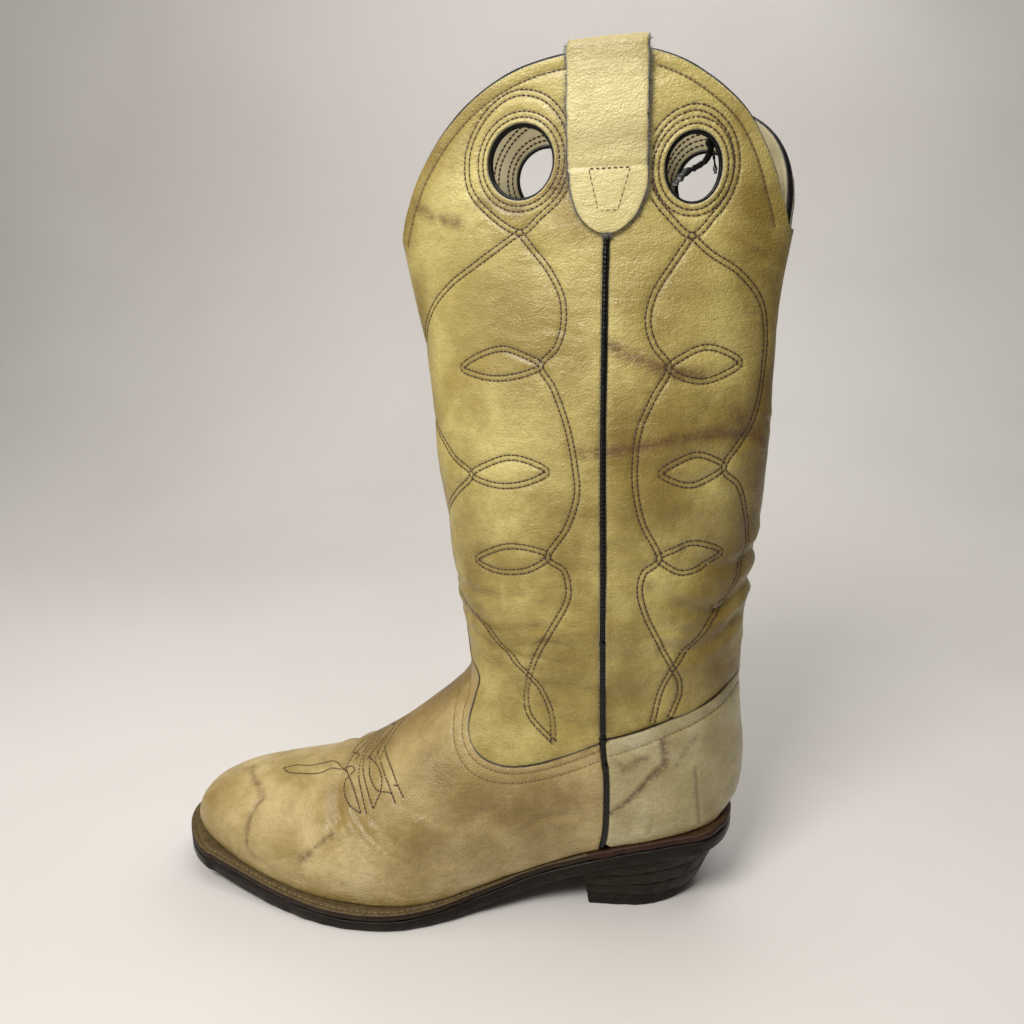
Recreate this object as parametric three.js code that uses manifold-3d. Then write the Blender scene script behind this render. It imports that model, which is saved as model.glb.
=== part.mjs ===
// Western (cowboy) boot, left foot, built as separate leather, board, metal and rubber pieces.
//
// Millimetres, +Z up. The toe points to -X, the heel to +X. The outer (lateral) side is -Y.
// The upper is a set of thin shells cut from one lofted skin. Every seam runs straight through
// both sides of the boot, so each seam is drawn once, as a line in the side view (x, z).

import * as THREE from "three";
import { mergeVertices } from "three/addons/utils/BufferGeometryUtils.js";
import Module from "manifold-3d";

// ---------------------------------------------------------------- driving dimensions (mm)
const LEATHER = 1.8;               // thickness of the outer leather
const GAP = 0.3;                   // clearance between neighbouring pieces
const LINING = 1.2;                // thickness of the lining leather
const STIFFENER = 1.1;             // thickness of the toe box and the heel stiffener
const WELT_THICKNESS = 3.6;
const WELT_WIDTH = 13;
const PIPING_WIDTH = 2.6;          // black cord strip in the side seams
const PIPING_RISE = 1.0;           // how far it stands proud
const TOP_BINDING_WIDTH = 3.0;
const STRAP_HALF_WIDTH = 16.3;
const STRAP_X = 79.8;
const STRAP_BOTTOM_Z = 331;
const STRAP_THICKNESS = 2.0;
const STRAP_TOP_Z = 406;
// Pull holes in the side view: centre x, centre z, half width, half height of the clear opening.
const PULL_HOLES = { front: [40.8, 361.2, 14, 14], back: [113.6, 356, 10.8, 12.7] };
const HOLE_BINDING_WIDTH = 1.6;
const TWIST = THREE.MathUtils.degToRad(-12);   // the shaft top is turned against the foot
const TWIST_X = 66;                             // axis of that turn
const TWIST_FROM_Z = 120;
const TWIST_TO_Z = 320;
const CAP_HEIGHT = 7;              // rubber heel cap
const HEEL_BREAST_X = 74;
const HEEL_BACK_X = 129.5;
const HEEL_HALF_WIDTH = 30;
const LIFT_COUNT = 3;
const NAIL_R = 1.3;

// Sections of the upper from the toe tip (first row) round the instep to the boot top (last row).
// Each row: front point x, z | back or sole point x, z | half width outer, inner |
// half width of the turned-in edge outer, inner | place of the widest point | squareness.
const SECTIONS = [
  [-145.5, 28, -145.5, 28, 0, 0, 0, 0, 0.45, 2.0],
  [-144.7, 33, -144.2, 23, 8, 8, 0, 0, 0.42, 2.0],
  [-142, 37.5, -141, 21.5, 14.5, 14.5, 6.5, 6.5, 0.38, 2.1],
  [-136, 42.5, -135, 20, 21, 20, 15, 14.5, 0.34, 2.2],
  [-125.5, 47.5, -124.5, 18, 28.5, 27.5, 23.5, 22.5, 0.3, 2.2],
  [-110, 52, -109, 15.2, 36, 34.5, 32, 30.5, 0.28, 2.1],
  [-88, 56.5, -87, 12.2, 44.5, 40, 41.5, 37.5, 0.26, 2.0],
  [-64, 62, -61, 10.2, 51.5, 43, 49.5, 40.5, 0.25, 1.9],
  [-42, 73.5, -34, 9.6, 54, 44, 52.5, 41, 0.25, 1.85],
  [-19, 91, -8, 10.6, 52.5, 42.5, 50.5, 37.5, 0.27, 1.8],
  [0, 106.5, 17, 14.8, 46, 39.5, 38.5, 32, 0.32, 1.8],
  [9.5, 117.5, 44, 23.5, 41.5, 38, 31, 29, 0.38, 1.85],
  [11, 124, 76, 34.5, 39.5, 38, 29.5, 29, 0.42, 1.9],
  [10, 130, 108, 42, 39, 38, 29.5, 29, 0.45, 1.9],
  [9.5, 135, 134, 47, 38.5, 38, 24, 23.5, 0.47, 1.9],
  [9, 139, 147.5, 50, 38, 38, 4, 4, 0.48, 1.9],
  [8, 143.5, 152, 60, 38, 38, 0, 0, 0.49, 1.9],
  [7, 149, 152.5, 78, 38.5, 38.5, 0, 0, 0.5, 1.9],
  [5.5, 156, 149.5, 100, 39, 39, 0, 0, 0.5, 1.9],
  [4, 164, 147, 122, 39.5, 39.5, 0, 0, 0.5, 1.9],
  [2, 175, 146.5, 146, 40, 40, 0, 0, 0.5, 1.85],
  [-0.5, 189, 147.5, 171, 40, 40, 0, 0, 0.5, 1.85],
  [-3, 208, 149.5, 198, 39.5, 39.5, 0, 0, 0.5, 1.8],
  [-6.5, 230, 151, 225, 38.5, 38.5, 0, 0, 0.49, 1.8],
  [-10, 256, 150.5, 254, 36.5, 36.5, 0, 0, 0.475, 1.75],
  [-13.5, 282, 149.5, 282, 34, 34, 0, 0, 0.455, 1.7],
  [-19, 308, 150, 308, 31, 31, 0, 0, 0.44, 1.7],
  [-26.5, 334, 153, 334, 28.5, 28.5, 0, 0, 0.425, 1.7],
  [-31, 366, 156, 366, 27, 27, 0, 0, 0.42, 1.7],
  [-32, 412, 157, 412, 26.5, 26.5, 0, 0, 0.42, 1.7],
];
const FIRST_CLOSED_STATION = 17;   // from here up the skin is closed at the back of the heel

// Rows of the shell grid, as places along SECTIONS.
const GRID_ROWS = [
  0, 0.5, 1.1, 1.8, 2.6, 3.6, 4.8, 6, 7.1, 8.1, 9, 9.8, 10.7, 11.6, 12.3, 13, 14, 15, 16, 17, 18.2, 19.6, 21.2, 23, 25, 26.6,
  28, 29,
];
const GRID_COLUMNS = 20;

// Seams in the side view (x, z).
const SIDE_SEAM = [[79, 440], [79.5, 330], [80, 276], [78, 192], [77, 149], [78, 101], [81, 80], [81, 52], [79, 10]];
const VAMP_TOP = [[-40, 160], [4, 128], [16, 119], [12.5, 106], [13, 95], [18, 88], [27, 84.5], [42, 85], [62, 91], [78.4, 99.6]];
const COUNTER_TOP = [[77.6, 101.4], [95, 106], [108, 111], [121, 115], [133, 120], [143, 126], [175, 145]];
const RIM = [
  [-60, 331], [-32, 331], [-27, 335], [-20, 347], [-11, 361], [2, 376], [16, 387], [34, 396], [54, 400.5],
  [80, 401.5], [98, 399], [116, 391], [134, 378], [144.5, 362], [150.3, 345], [153.8, 333], [158, 329], [190, 328],
];

// Sole edge in plan: x, half width outer, half width inner, between the toe curve and the heel curve.
const SOLE_EDGE = [
  [-128, 33, 31.5], [-110, 40, 38], [-88, 48.5, 43.5], [-64, 56, 46.5], [-42, 59, 47], [-19, 57.5, 45],
  [0, 51.5, 41], [17, 44.5, 38], [44, 36.5, 34.5], [72, 34.5, 34], [100, 33.5, 33.5], [125, 31.5, 31.5],
];
const TOE_X = -152;
const SOLE_BACK_X = 148.5;
// Underside of the outsole: x, z. It rests on the floor under the ball of the foot.
const SOLE_UNDERSIDE = [
  [-152, 13.5], [-140, 10.4], [-128, 7.6], [-110, 4.2], [-88, 1.4], [-64, 0.2], [-54, 0], [-34, 0], [-19, 0.5], [0, 2],
  [17, 4.8], [44, 12], [72, 21.5], [100, 28], [125, 33], [140, 36.5], [151, 38],
];
const SOLE_STATIONS = [
  -151.9, -150.8, -148, -144, -138, -128, -119, -110, -99, -88, -76, -64, -54, -44, -34, -19, -8, 4, 17, 30, 44, 58, 72,
  86, 100, 113, 125, 132, 138, 143, 147, 149.5, 150.4,
];

// ---------------------------------------------------------------- small maths
const mix = (a, b, f) => a + (b - a) * f;

function smoothstep(from, to, value) {
  const f = THREE.MathUtils.clamp((value - from) / (to - from), 0, 1);
  return f * f * (3 - 2 * f);
}

function table(rows, x, column = 1) {
  if (x <= rows[0][0]) return rows[0][column];
  for (let i = 1; i < rows.length; i += 1) {
    if (x <= rows[i][0]) {
      return mix(rows[i - 1][column], rows[i][column], (x - rows[i - 1][0]) / (rows[i][0] - rows[i - 1][0]));
    }
  }
  return rows[rows.length - 1][column];
}

// Uniform cubic B-spline through the section rows, with mirrored ends.
function sectionAt(station) {
  const last = SECTIONS.length - 1;
  const t = THREE.MathUtils.clamp(station, 0, last - 1e-7);
  const i = Math.floor(t);
  const f = t - i;
  const row = (k) => {
    if (k < 0) return SECTIONS[0].map((value, c) => 2 * value - SECTIONS[1][c]);
    if (k > last) return SECTIONS[last].map((value, c) => 2 * value - SECTIONS[last - 1][c]);
    return SECTIONS[k];
  };
  const weights = [(1 - f) ** 3, 3 * f ** 3 - 6 * f ** 2 + 4, -3 * f ** 3 + 3 * f ** 2 + 3 * f + 1, f ** 3];
  return SECTIONS[0].map((_, c) => weights.reduce((sum, w, k) => sum + w * row(i - 1 + k)[c], 0) / 6);
}

// Point on the skin. The angle is 0 on the front ridge, negative on the outer side, +-PI at the back.
function skinPoint(station, angle) {
  const [fx, fz, bx, bz, wideOuter, wideInner, edgeOuter, edgeInner, widest, square] = sectionAt(station);
  const outer = angle < 0;
  const a = Math.min(Math.abs(angle), Math.PI);
  const c = Math.abs(Math.cos(a));
  const s = Math.abs(Math.sin(a));
  const wide = outer ? wideOuter : wideInner;
  const edge = outer ? edgeOuter : edgeInner;
  const front = a <= Math.PI / 2;
  const h = front ? widest + (1 - widest) * c : widest * (1 - c);
  const y = front ? wide * s ** (2 / square) : edge + (wide - edge) * s ** (2 / square);
  return new THREE.Vector3(bx + (fx - bx) * h, outer ? -y : y, bz + (fz - bz) * h);
}

function skinNormal(station, angle) {
  if (station < 0.05) return new THREE.Vector3(-1, 0, 0);
  const limit = Math.PI - 0.06;
  const a = THREE.MathUtils.clamp(angle, -limit, limit);
  const step = 0.02;
  const along = skinPoint(station + step, a).sub(skinPoint(Math.max(station - step, 0), a));
  const round = skinPoint(station, a + step).sub(skinPoint(station, a - step));
  const normal = along.cross(round).normalize();
  const atEdge = Math.abs(angle) > limit;
  if (atEdge) normal.y *= Math.min(1, sectionAt(station)[6] / 20);
  // Low down in the foot the layers stand side by side, so they are spread sideways there.
  const inFoot = smoothstep(2.4, 4.4, station) * (1 - smoothstep(12.5, 14.8, station));
  const sideways = inFoot * smoothstep(Math.PI / 2, Math.PI * 0.88, Math.abs(angle));
  normal.multiplyScalar(1 - sideways);
  normal.y += sideways * Math.sign(angle);
  return normal.normalize();
}

// Line offset sideways in the side view; positive is to the left of its direction.
function offsetLine(points, distance) {
  return points.map((p, i) => {
    const before = points[Math.max(i - 1, 0)];
    const after = points[Math.min(i + 1, points.length - 1)];
    const dx = after[0] - before[0];
    const dz = after[1] - before[1];
    const length = Math.hypot(dx, dz);
    return [p[0] - (dz / length) * distance, p[1] + (dx / length) * distance];
  });
}

function smoothLine(points, perSpan) {
  const curve = new THREE.CatmullRomCurve3(points.map(([x, z]) => new THREE.Vector3(x, 0, z)), false, "centripetal");
  return curve.getPoints((points.length - 1) * perSpan).map((p) => [p.x, p.z]);
}

// ---------------------------------------------------------------- solids
const wasm = await Module();
wasm.setup();

function toSolid(geometry) {
  const bare = new THREE.BufferGeometry();
  bare.setAttribute("position", geometry.getAttribute("position").clone());
  if (geometry.index) bare.setIndex(geometry.index.clone());
  const merged = mergeVertices(bare, 1e-4);
  return new wasm.Manifold(new wasm.Mesh({
    numProp: 3,
    vertProperties: new Float32Array(merged.getAttribute("position").array),
    triVerts: new Uint32Array(merged.index.array),
  }));
}

// Closed mesh from points and triangles, turned right side out.
function closedGeometry(points, triangles) {
  let volume = 0;
  for (const [a, b, c] of triangles) {
    volume += points[a].dot(points[b].clone().cross(points[c]));
  }
  const faces = volume < 0 ? triangles.map(([a, b, c]) => [a, c, b]) : triangles;
  const geometry = new THREE.BufferGeometry();
  geometry.setAttribute("position", new THREE.Float32BufferAttribute(points.flatMap((p) => [p.x, p.y, p.z]), 3));
  geometry.setIndex(faces.flat());
  return geometry;
}

// The whole upper as one thin shell between two distances from the skin (inwards is negative).
function shell(inside, outside) {
  const rows = GRID_ROWS;
  const points = [];
  const lookup = [];
  for (const distance of [outside, inside]) {
    const sheet = [];
    rows.forEach((station, i) => {
      const line = [];
      for (let j = 0; j < GRID_COLUMNS; j += 1) {
        const angle = -Math.PI + (2 * Math.PI * j) / (GRID_COLUMNS - 1);
        const joined = j === GRID_COLUMNS - 1 && station >= FIRST_CLOSED_STATION;
        if (joined || (i === 0 && j > 0)) {
          line.push(line[0]);
        } else {
          line.push(points.length);
          points.push(skinPoint(station, angle).addScaledVector(skinNormal(station, angle), distance));
        }
      }
      sheet.push(line);
    });
    lookup.push(sheet);
  }
  const [out, inn] = lookup;
  const faces = [];
  const quad = (a, b, c, d) => faces.push([a, b, c], [a, c, d]);
  for (let i = 0; i < rows.length - 1; i += 1) {
    for (let j = 0; j < GRID_COLUMNS - 1; j += 1) {
      quad(out[i][j], out[i + 1][j], out[i + 1][j + 1], out[i][j + 1]);
      quad(inn[i][j], inn[i][j + 1], inn[i + 1][j + 1], inn[i + 1][j]);
    }
    if (rows[i] < FIRST_CLOSED_STATION) {
      const last = GRID_COLUMNS - 1;
      quad(out[i + 1][0], out[i][0], inn[i][0], inn[i + 1][0]);
      quad(out[i][last], out[i + 1][last], inn[i + 1][last], inn[i][last]);
    }
  }
  const top = rows.length - 1;
  for (let j = 0; j < GRID_COLUMNS - 1; j += 1) {
    quad(out[top][j + 1], out[top][j], inn[top][j], inn[top][j + 1]);
  }
  const real = faces.filter(([a, b, c]) => a !== b && b !== c && a !== c);
  return toSolid(closedGeometry(points, real));
}

// Side-view outline (x, z) pushed through the boot along Y.
function prism(outline, fromY = -120, toY = 120) {
  const shape = new THREE.Shape(outline.map(([x, z]) => new THREE.Vector2(x, z)));
  const geometry = new THREE.ExtrudeGeometry(shape, { depth: toY - fromY, bevelEnabled: false });
  geometry.rotateX(Math.PI / 2);
  geometry.translate(0, toY, 0);
  return toSolid(geometry);
}

function slit(line, width) {
  return prism([...offsetLine(line, width / 2), ...offsetLine(line, -width / 2).reverse()]);
}

function belowRim(drop) {
  const edge = offsetLine(smoothLine(RIM, 2), -drop);
  return prism([...edge, [190, -60], [-200, -60], [-200, edge[0][1]]]);
}

function rimStrip() {
  const curve = smoothLine(RIM, 2);
  return prism([...curve, ...offsetLine(curve, -TOP_BINDING_WIDTH).reverse()]);
}

// Edge of a pull hole, grown outwards by a margin.
function holeOutline([x, z, halfWidth, halfHeight], margin = 0, segments = 20) {
  return Array.from({ length: segments }, (_, k) => {
    const a = (2 * Math.PI * k) / segments;
    return [x + (halfWidth + margin) * Math.cos(a), z + (halfHeight + margin) * Math.sin(a)];
  });
}

function strapOutline(halfWidth, bottomZ, topZ) {
  const outline = [[STRAP_X + halfWidth, topZ], [STRAP_X - halfWidth, topZ]];
  for (let k = 0; k <= 10; k += 1) {
    const a = Math.PI + (Math.PI * k) / 10;
    outline.push([STRAP_X + halfWidth * Math.cos(a), bottomZ + 24 + 24 * Math.sin(a)]);
  }
  return outline;
}

// Pieces that a set of cutters leaves of a shell, found by a test on their centre.
function pieceWhere(solid, test) {
  const found = solid.decompose().filter((piece) => {
    const box = piece.boundingBox();
    return piece.volume() > 20 && test(box.min.map((v, k) => (v + box.max[k]) / 2), box);
  });
  if (found.length !== 1) throw new Error(`expected one piece, found ${found.length}`);
  return found[0];
}

// ---------------------------------------------------------------- sole and heel solids
const SEAT = Array.from({ length: 62 }, (_, k) => {
  const row = sectionAt(1.6 + k * 0.21);
  return [row[2], row[3]];
});

// Height of the turned-in lower edge of the upper, which rests on the welt.
function seatZ(x) {
  if (x < SEAT[0][0]) return SEAT[0][1] + (SEAT[0][0] - x) * 0.2;
  return table(SEAT, x);
}

function soleEdge(x, column) {
  const [toeX] = SOLE_EDGE[0];
  const [heelX] = SOLE_EDGE[SOLE_EDGE.length - 1];
  if (x < toeX) {
    const u = (toeX - x) / (toeX - TOE_X);
    return SOLE_EDGE[0][column] * Math.max(1 - u ** 1.7, 0.0001) ** 0.62;
  }
  if (x > heelX) {
    const u = (x - heelX) / (SOLE_BACK_X - heelX);
    return SOLE_EDGE[SOLE_EDGE.length - 1][column] * Math.max(1 - u ** 2, 0.0001) ** 0.5;
  }
  return table(SOLE_EDGE, x, column);
}

// Solid made of cross-sections, each a closed ring with the same number of points.
function skinRings(rings) {
  const points = rings.flat();
  const n = rings[0].length;
  const faces = [];
  for (let i = 0; i < rings.length - 1; i += 1) {
    for (let k = 0; k < n; k += 1) {
      const a = i * n + k;
      const b = i * n + ((k + 1) % n);
      faces.push([a, b, b + n], [a, b + n, a + n]);
    }
  }
  const end = (rings.length - 1) * n;
  for (let k = 1; k < n - 1; k += 1) {
    faces.push([0, k + 1, k], [end, end + k, end + k + 1]);
  }
  return closedGeometry(points, faces);
}

// Flat plate: each station gives x, outer and inner half width, top and bottom height.
function plate(stations) {
  return skinRings(stations.map(({ x, outer, inner, top, bottom }) => [
    new THREE.Vector3(x, -outer, top),
    new THREE.Vector3(x, inner, top),
    new THREE.Vector3(x, inner, bottom),
    new THREE.Vector3(x, -outer, bottom),
  ]));
}

// Plate that follows the turned-in edge of the upper, at heights above the seat.
function seatPlate(fromStation, toStation, count, inset, bottom, top) {
  const stations = Array.from({ length: count }, (_, k) => {
    const row = sectionAt(mix(fromStation, toStation, k / (count - 1)));
    return {
      x: row[2],
      outer: Math.max(row[6] - inset, 0.4),
      inner: Math.max(row[7] - inset, 0.4),
      top: row[3] + top,
      bottom: row[3] + bottom,
    };
  });
  return plate(stations);
}

// Band that follows the sole edge, between the sole and the upper.
function edgeBand(edgePoints, width) {
  const rings = edgePoints.map((p, i) => {
    const before = edgePoints[Math.max(i - 1, 0)];
    const after = edgePoints[Math.min(i + 1, edgePoints.length - 1)];
    const tangent = after.clone().sub(before).normalize();
    const inward = new THREE.Vector2(p.x - tangent.y * width, p.y + tangent.x * width);
    const top = (q) => new THREE.Vector3(q.x, q.y, seatZ(q.x) - GAP);
    const bottom = (q) => new THREE.Vector3(q.x, q.y, seatZ(q.x) - GAP - WELT_THICKNESS);
    return [top(p), top(inward), bottom(inward), bottom(p)];
  });
  return skinRings(rings);
}

function weltGeometry() {
  const stations = SOLE_STATIONS.filter((x) => x <= 72).reverse();
  const outer = stations.map((x) => new THREE.Vector2(x, -soleEdge(x, 1)));
  const inner = stations.map((x) => new THREE.Vector2(x, soleEdge(x, 2))).reverse();
  return edgeBand([...inner.reverse(), ...outer.reverse()], WELT_WIDTH);
}

function randGeometry() {
  const stations = [73, ...SOLE_STATIONS.filter((x) => x > 75)];
  const outer = stations.map((x) => new THREE.Vector2(x, -soleEdge(x, 1)));
  const inner = stations.map((x) => new THREE.Vector2(x, soleEdge(x, 2)));
  return edgeBand([...outer, ...inner.reverse()], WELT_WIDTH - 3);
}

function outsoleGeometry() {
  return plate(SOLE_STATIONS.map((x) => ({
    x,
    outer: soleEdge(x, 1),
    inner: soleEdge(x, 2),
    top: seatZ(x) - WELT_THICKNESS - 3 * GAP,
    bottom: table(SOLE_UNDERSIDE, x),
  })));
}

function fillerGeometry() {
  const stations = [-134.5, -132, -127, -119, -110, -99, -88, -76, -64, -54, -44, -34, -19, -9];
  return plate(stations.map((x) => {
    const u = Math.max((-110 - x) / 25, 0);
    const limit = 21 * Math.sqrt(1 - u ** 2);
    const toe = x < -100;
    return {
      x,
      outer: toe ? Math.min(limit, soleEdge(x, 1) - WELT_WIDTH - 2.5) : soleEdge(x, 1) - WELT_WIDTH - 2.5,
      inner: toe ? Math.min(limit, soleEdge(x, 2) - WELT_WIDTH - 2.5) : soleEdge(x, 2) - WELT_WIDTH - 2.5,
      top: seatZ(x) - GAP - 0.2,
      bottom: seatZ(x) - GAP - WELT_THICKNESS + 0.2,
    };
  }));
}

function shankGeometry() {
  const stations = [-8, 4, 17, 30, 44, 58, 72, 86, 100, 113, 122];
  return plate(stations.map((x) => ({
    x, outer: 11, inner: 11, top: seatZ(x) - 1, bottom: seatZ(x) - 3,
  })));
}

// Heel stack. Level 0 is the floor, level 1 the underside of the outsole.
const CAP_LEVEL = 0.3;

function heelHeight(level, x) {
  const seat = table(SOLE_UNDERSIDE, x) - GAP;
  return level <= CAP_LEVEL ? (CAP_HEIGHT * level) / CAP_LEVEL
    : mix(CAP_HEIGHT, seat, (level - CAP_LEVEL) / (1 - CAP_LEVEL));
}

function heelOutlinePoint(level, f, side, drop) {
  const breast = HEEL_BREAST_X - 4 * level;
  const back = HEEL_BACK_X + 17 * level;
  const x = mix(breast, back, f);
  const bend = Math.max((f - 0.3) / 0.7, 0);
  const y = side * (HEEL_HALF_WIDTH + 2.5 * level) * Math.max(1 - bend ** 2.1, 0.0002) ** 0.5;
  return new THREE.Vector3(x, y, heelHeight(level, x) - drop);
}

function heelSlice(fromLevel, toLevel, drop) {
  const places = [0, 0.2, 0.4, 0.52, 0.64, 0.75, 0.84, 0.91, 0.96, 0.99, 1];
  return skinRings(places.map((f) => [
    heelOutlinePoint(toLevel, f, -1, drop),
    heelOutlinePoint(toLevel, f, 1, drop),
    heelOutlinePoint(fromLevel, f, 1, 0),
    heelOutlinePoint(fromLevel, f, -1, 0),
  ]));
}

const NAIL_PLACES = [[84, -20], [84, 20], [106, -21], [106, 21], [124, 0]];

function nailGeometry([x, y], radius, fromZ, toZ) {
  const geometry = new THREE.CylinderGeometry(radius, radius, toZ - fromZ, 12);
  geometry.rotateX(Math.PI / 2);
  geometry.translate(x, y, (fromZ + toZ) / 2);
  return geometry;
}

function topLiftSolid() {
  const holes = NAIL_PLACES.map((place) => toSolid(nailGeometry(place, NAIL_R + 0.2, -1, CAP_HEIGHT + 1)));
  return toSolid(heelSlice(0, CAP_LEVEL, 0)).subtract(wasm.Manifold.union(holes));
}

// ---------------------------------------------------------------- upper pieces
function upperPieces() {
  const sideSeam = smoothLine(SIDE_SEAM, 1);
  const vampTop = smoothLine(VAMP_TOP, 2);
  const counterTop = smoothLine(COUNTER_TOP, 2);
  const crossSeams = [slit(vampTop, GAP + 0.1), slit(counterTop, GAP + 0.1)];
  const pulls = Object.values(PULL_HOLES).map((hole) => prism(holeOutline(hole, HOLE_BINDING_WIDTH + GAP)));
  const trimmed = belowRim(TOP_BINDING_WIDTH + GAP);
  const cut = (solid, seamWidth) => solid.intersect(trimmed)
    .subtract(wasm.Manifold.union([...crossSeams, ...pulls, slit(sideSeam, seamWidth)]));

  const isVamp = (c, box) => box.min[0] < -100;
  const isCounter = (c, box) => box.max[2] < 175 && c[0] > 90;
  const isFront = (c, box) => box.max[2] > 300 && c[0] < 60;
  const isBack = (c, box) => box.max[2] > 300 && c[0] > 90;

  const leather = cut(shell(-LEATHER, 0), PIPING_WIDTH + 2 * GAP);
  const liningTop = -LEATHER - GAP;
  const shaftLining = cut(shell(liningTop - LINING, liningTop), GAP + 0.1);
  const footTop = liningTop - STIFFENER - GAP;
  const footLining = cut(shell(footTop - LINING - 0.1, footTop), GAP + 0.1);
  const stiffener = shell(liningTop - STIFFENER, liningTop);
  const toeRegion = prism([[-170, 0], [-96, 0], [-104, 90], [-170, 90]]);
  const heelRegion = prism([[92, 20], [92, 86], [118, 100], [140, 108], [180, 112], [180, 20]]);

  const holeRing = (hole, outerSide) => {
    const [fromY, toY] = outerSide ? [-120, 0] : [0, 120];
    return shell(liningTop - LINING - GAP, GAP)
      .intersect(prism(holeOutline(hole, HOLE_BINDING_WIDTH), fromY, toY))
      .subtract(prism(holeOutline(hole), fromY - 1, toY + 1));
  };
  const bindingStrip = shell(liningTop - LINING - GAP, GAP)
    .intersect(rimStrip())
    .subtract(slit([[STRAP_X, 460], [STRAP_X, 370]], GAP));
  const piping = shell(-LEATHER, PIPING_RISE)
    .intersect(prism([...offsetLine(sideSeam, PIPING_WIDTH / 2), ...offsetLine(sideSeam, -PIPING_WIDTH / 2).reverse()]))
    .intersect(belowRim(TOP_BINDING_WIDTH + 4));
  const pipingBelowStrap = piping.intersect(prism([[0, -20], [160, -20], [160, STRAP_BOTTOM_Z - 1], [0, STRAP_BOTTOM_Z - 1]]));

  const strapIn = liningTop - LINING - 2 * GAP;
  const strapSlab = shell(strapIn - STRAP_THICKNESS, 2 * GAP + STRAP_THICKNESS)
    .intersect(prism(strapOutline(STRAP_HALF_WIDTH, STRAP_BOTTOM_Z, STRAP_TOP_Z)));
  const strapGap = shell(strapIn, 2 * GAP).intersect(prism([[0, 300], [160, 300], [160, 403.5], [0, 403.5]]));
  const straps = strapSlab.subtract(strapGap);

  const pieces = {
    vamp: [pieceWhere(leather, isVamp), "leather_vamp"],
    heel_counter: [pieceWhere(leather, isCounter), "leather_vamp"],
    front_panel: [pieceWhere(leather, isFront), "leather_shaft"],
    back_panel: [pieceWhere(leather, isBack), "leather_shaft"],
    front_lining: [pieceWhere(shaftLining, isFront), "leather_lining"],
    back_lining: [pieceWhere(shaftLining, isBack), "leather_lining"],
    vamp_lining: [pieceWhere(footLining, isVamp), "leather_lining"],
    heel_lining: [pieceWhere(footLining, isCounter), "leather_lining"],
    toe_box: [stiffener.intersect(toeRegion), "stiffener_board"],
    heel_stiffener: [stiffener.intersect(heelRegion), "stiffener_board"],
    top_binding_front: [pieceWhere(bindingStrip, (c) => c[0] < 60), "black_binding"],
    top_binding_back: [pieceWhere(bindingStrip, (c) => c[0] > 90), "black_binding"],
    side_piping_outer: [pieceWhere(pipingBelowStrap, (c) => c[1] < 0), "black_binding"],
    side_piping_inner: [pieceWhere(pipingBelowStrap, (c) => c[1] > 0), "black_binding"],
    pull_strap_outer: [pieceWhere(straps, (c) => c[1] < 0), "leather_strap"],
    pull_strap_inner: [pieceWhere(straps, (c) => c[1] > 0), "leather_strap"],
  };
  Object.entries(PULL_HOLES).forEach(([end, hole]) => {
    pieces[`hole_binding_${end}_outer`] = [holeRing(hole, true), "black_binding"];
    pieces[`hole_binding_${end}_inner`] = [holeRing(hole, false), "black_binding"];
  });
  return pieces;
}

function solePieces() {
  const pieces = {
    insole: [toSolid(seatPlate(2.7, 14.3, 24, 6, 0, 3)), "stiffener_board"],
    sock_liner: [toSolid(seatPlate(2.9, 14.1, 24, 6.3, 3.3, 4.5)), "leather_lining"],
    welt: [toSolid(weltGeometry()), "leather_sole"],
    heel_rand: [toSolid(randGeometry()), "leather_rand"],
    cork_filler: [toSolid(fillerGeometry()), "cork"],
    shank: [toSolid(shankGeometry()), "shank_steel"],
    outsole: [toSolid(outsoleGeometry()), "leather_sole"],
    heel_cap: [topLiftSolid(), "rubber"],
  };
  for (let k = 0; k < LIFT_COUNT; k += 1) {
    const from = CAP_LEVEL + ((1 - CAP_LEVEL) * k) / LIFT_COUNT + 0.012;
    const to = CAP_LEVEL + ((1 - CAP_LEVEL) * (k + 1)) / LIFT_COUNT;
    pieces[`heel_lift_${k + 1}`] = [toSolid(heelSlice(from, to, 0)), "leather_heel"];
  }
  NAIL_PLACES.forEach((place, k) => {
    pieces[`heel_nail_${k + 1}`] = [toSolid(nailGeometry(place, NAIL_R, 0.3, CAP_HEIGHT - 0.2)), "nail_steel"];
  });
  return pieces;
}

// ---------------------------------------------------------------- materials and assembly
const LOOKS = {
  leather_vamp: [0xc9b98a, 0.55, 0],
  leather_shaft: [0xb5a564, 0.5, 0],
  leather_strap: [0xc2b27c, 0.6, 0],
  leather_lining: [0xcfc6a2, 0.7, 0],
  stiffener_board: [0x8a6f4d, 0.85, 0],
  black_binding: [0x17130f, 0.35, 0],
  leather_sole: [0x4a3524, 0.6, 0],
  leather_rand: [0x6b4026, 0.5, 0],
  leather_heel: [0x4c3d31, 0.65, 0],
  cork: [0x9c7a4f, 0.95, 0],
  shank_steel: [0x8f9296, 0.35, 1],
  nail_steel: [0x9a9994, 0.35, 1],
  rubber: [0x1b1816, 0.8, 0],
};

function twisted(geometry) {
  const position = geometry.getAttribute("position");
  for (let k = 0; k < position.count; k += 1) {
    const x = position.getX(k) - TWIST_X;
    const y = position.getY(k);
    const angle = TWIST * smoothstep(TWIST_FROM_Z, TWIST_TO_Z, position.getZ(k));
    position.setX(k, TWIST_X + x * Math.cos(angle) - y * Math.sin(angle));
    position.setY(k, x * Math.sin(angle) + y * Math.cos(angle));
  }
  return geometry;
}

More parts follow.
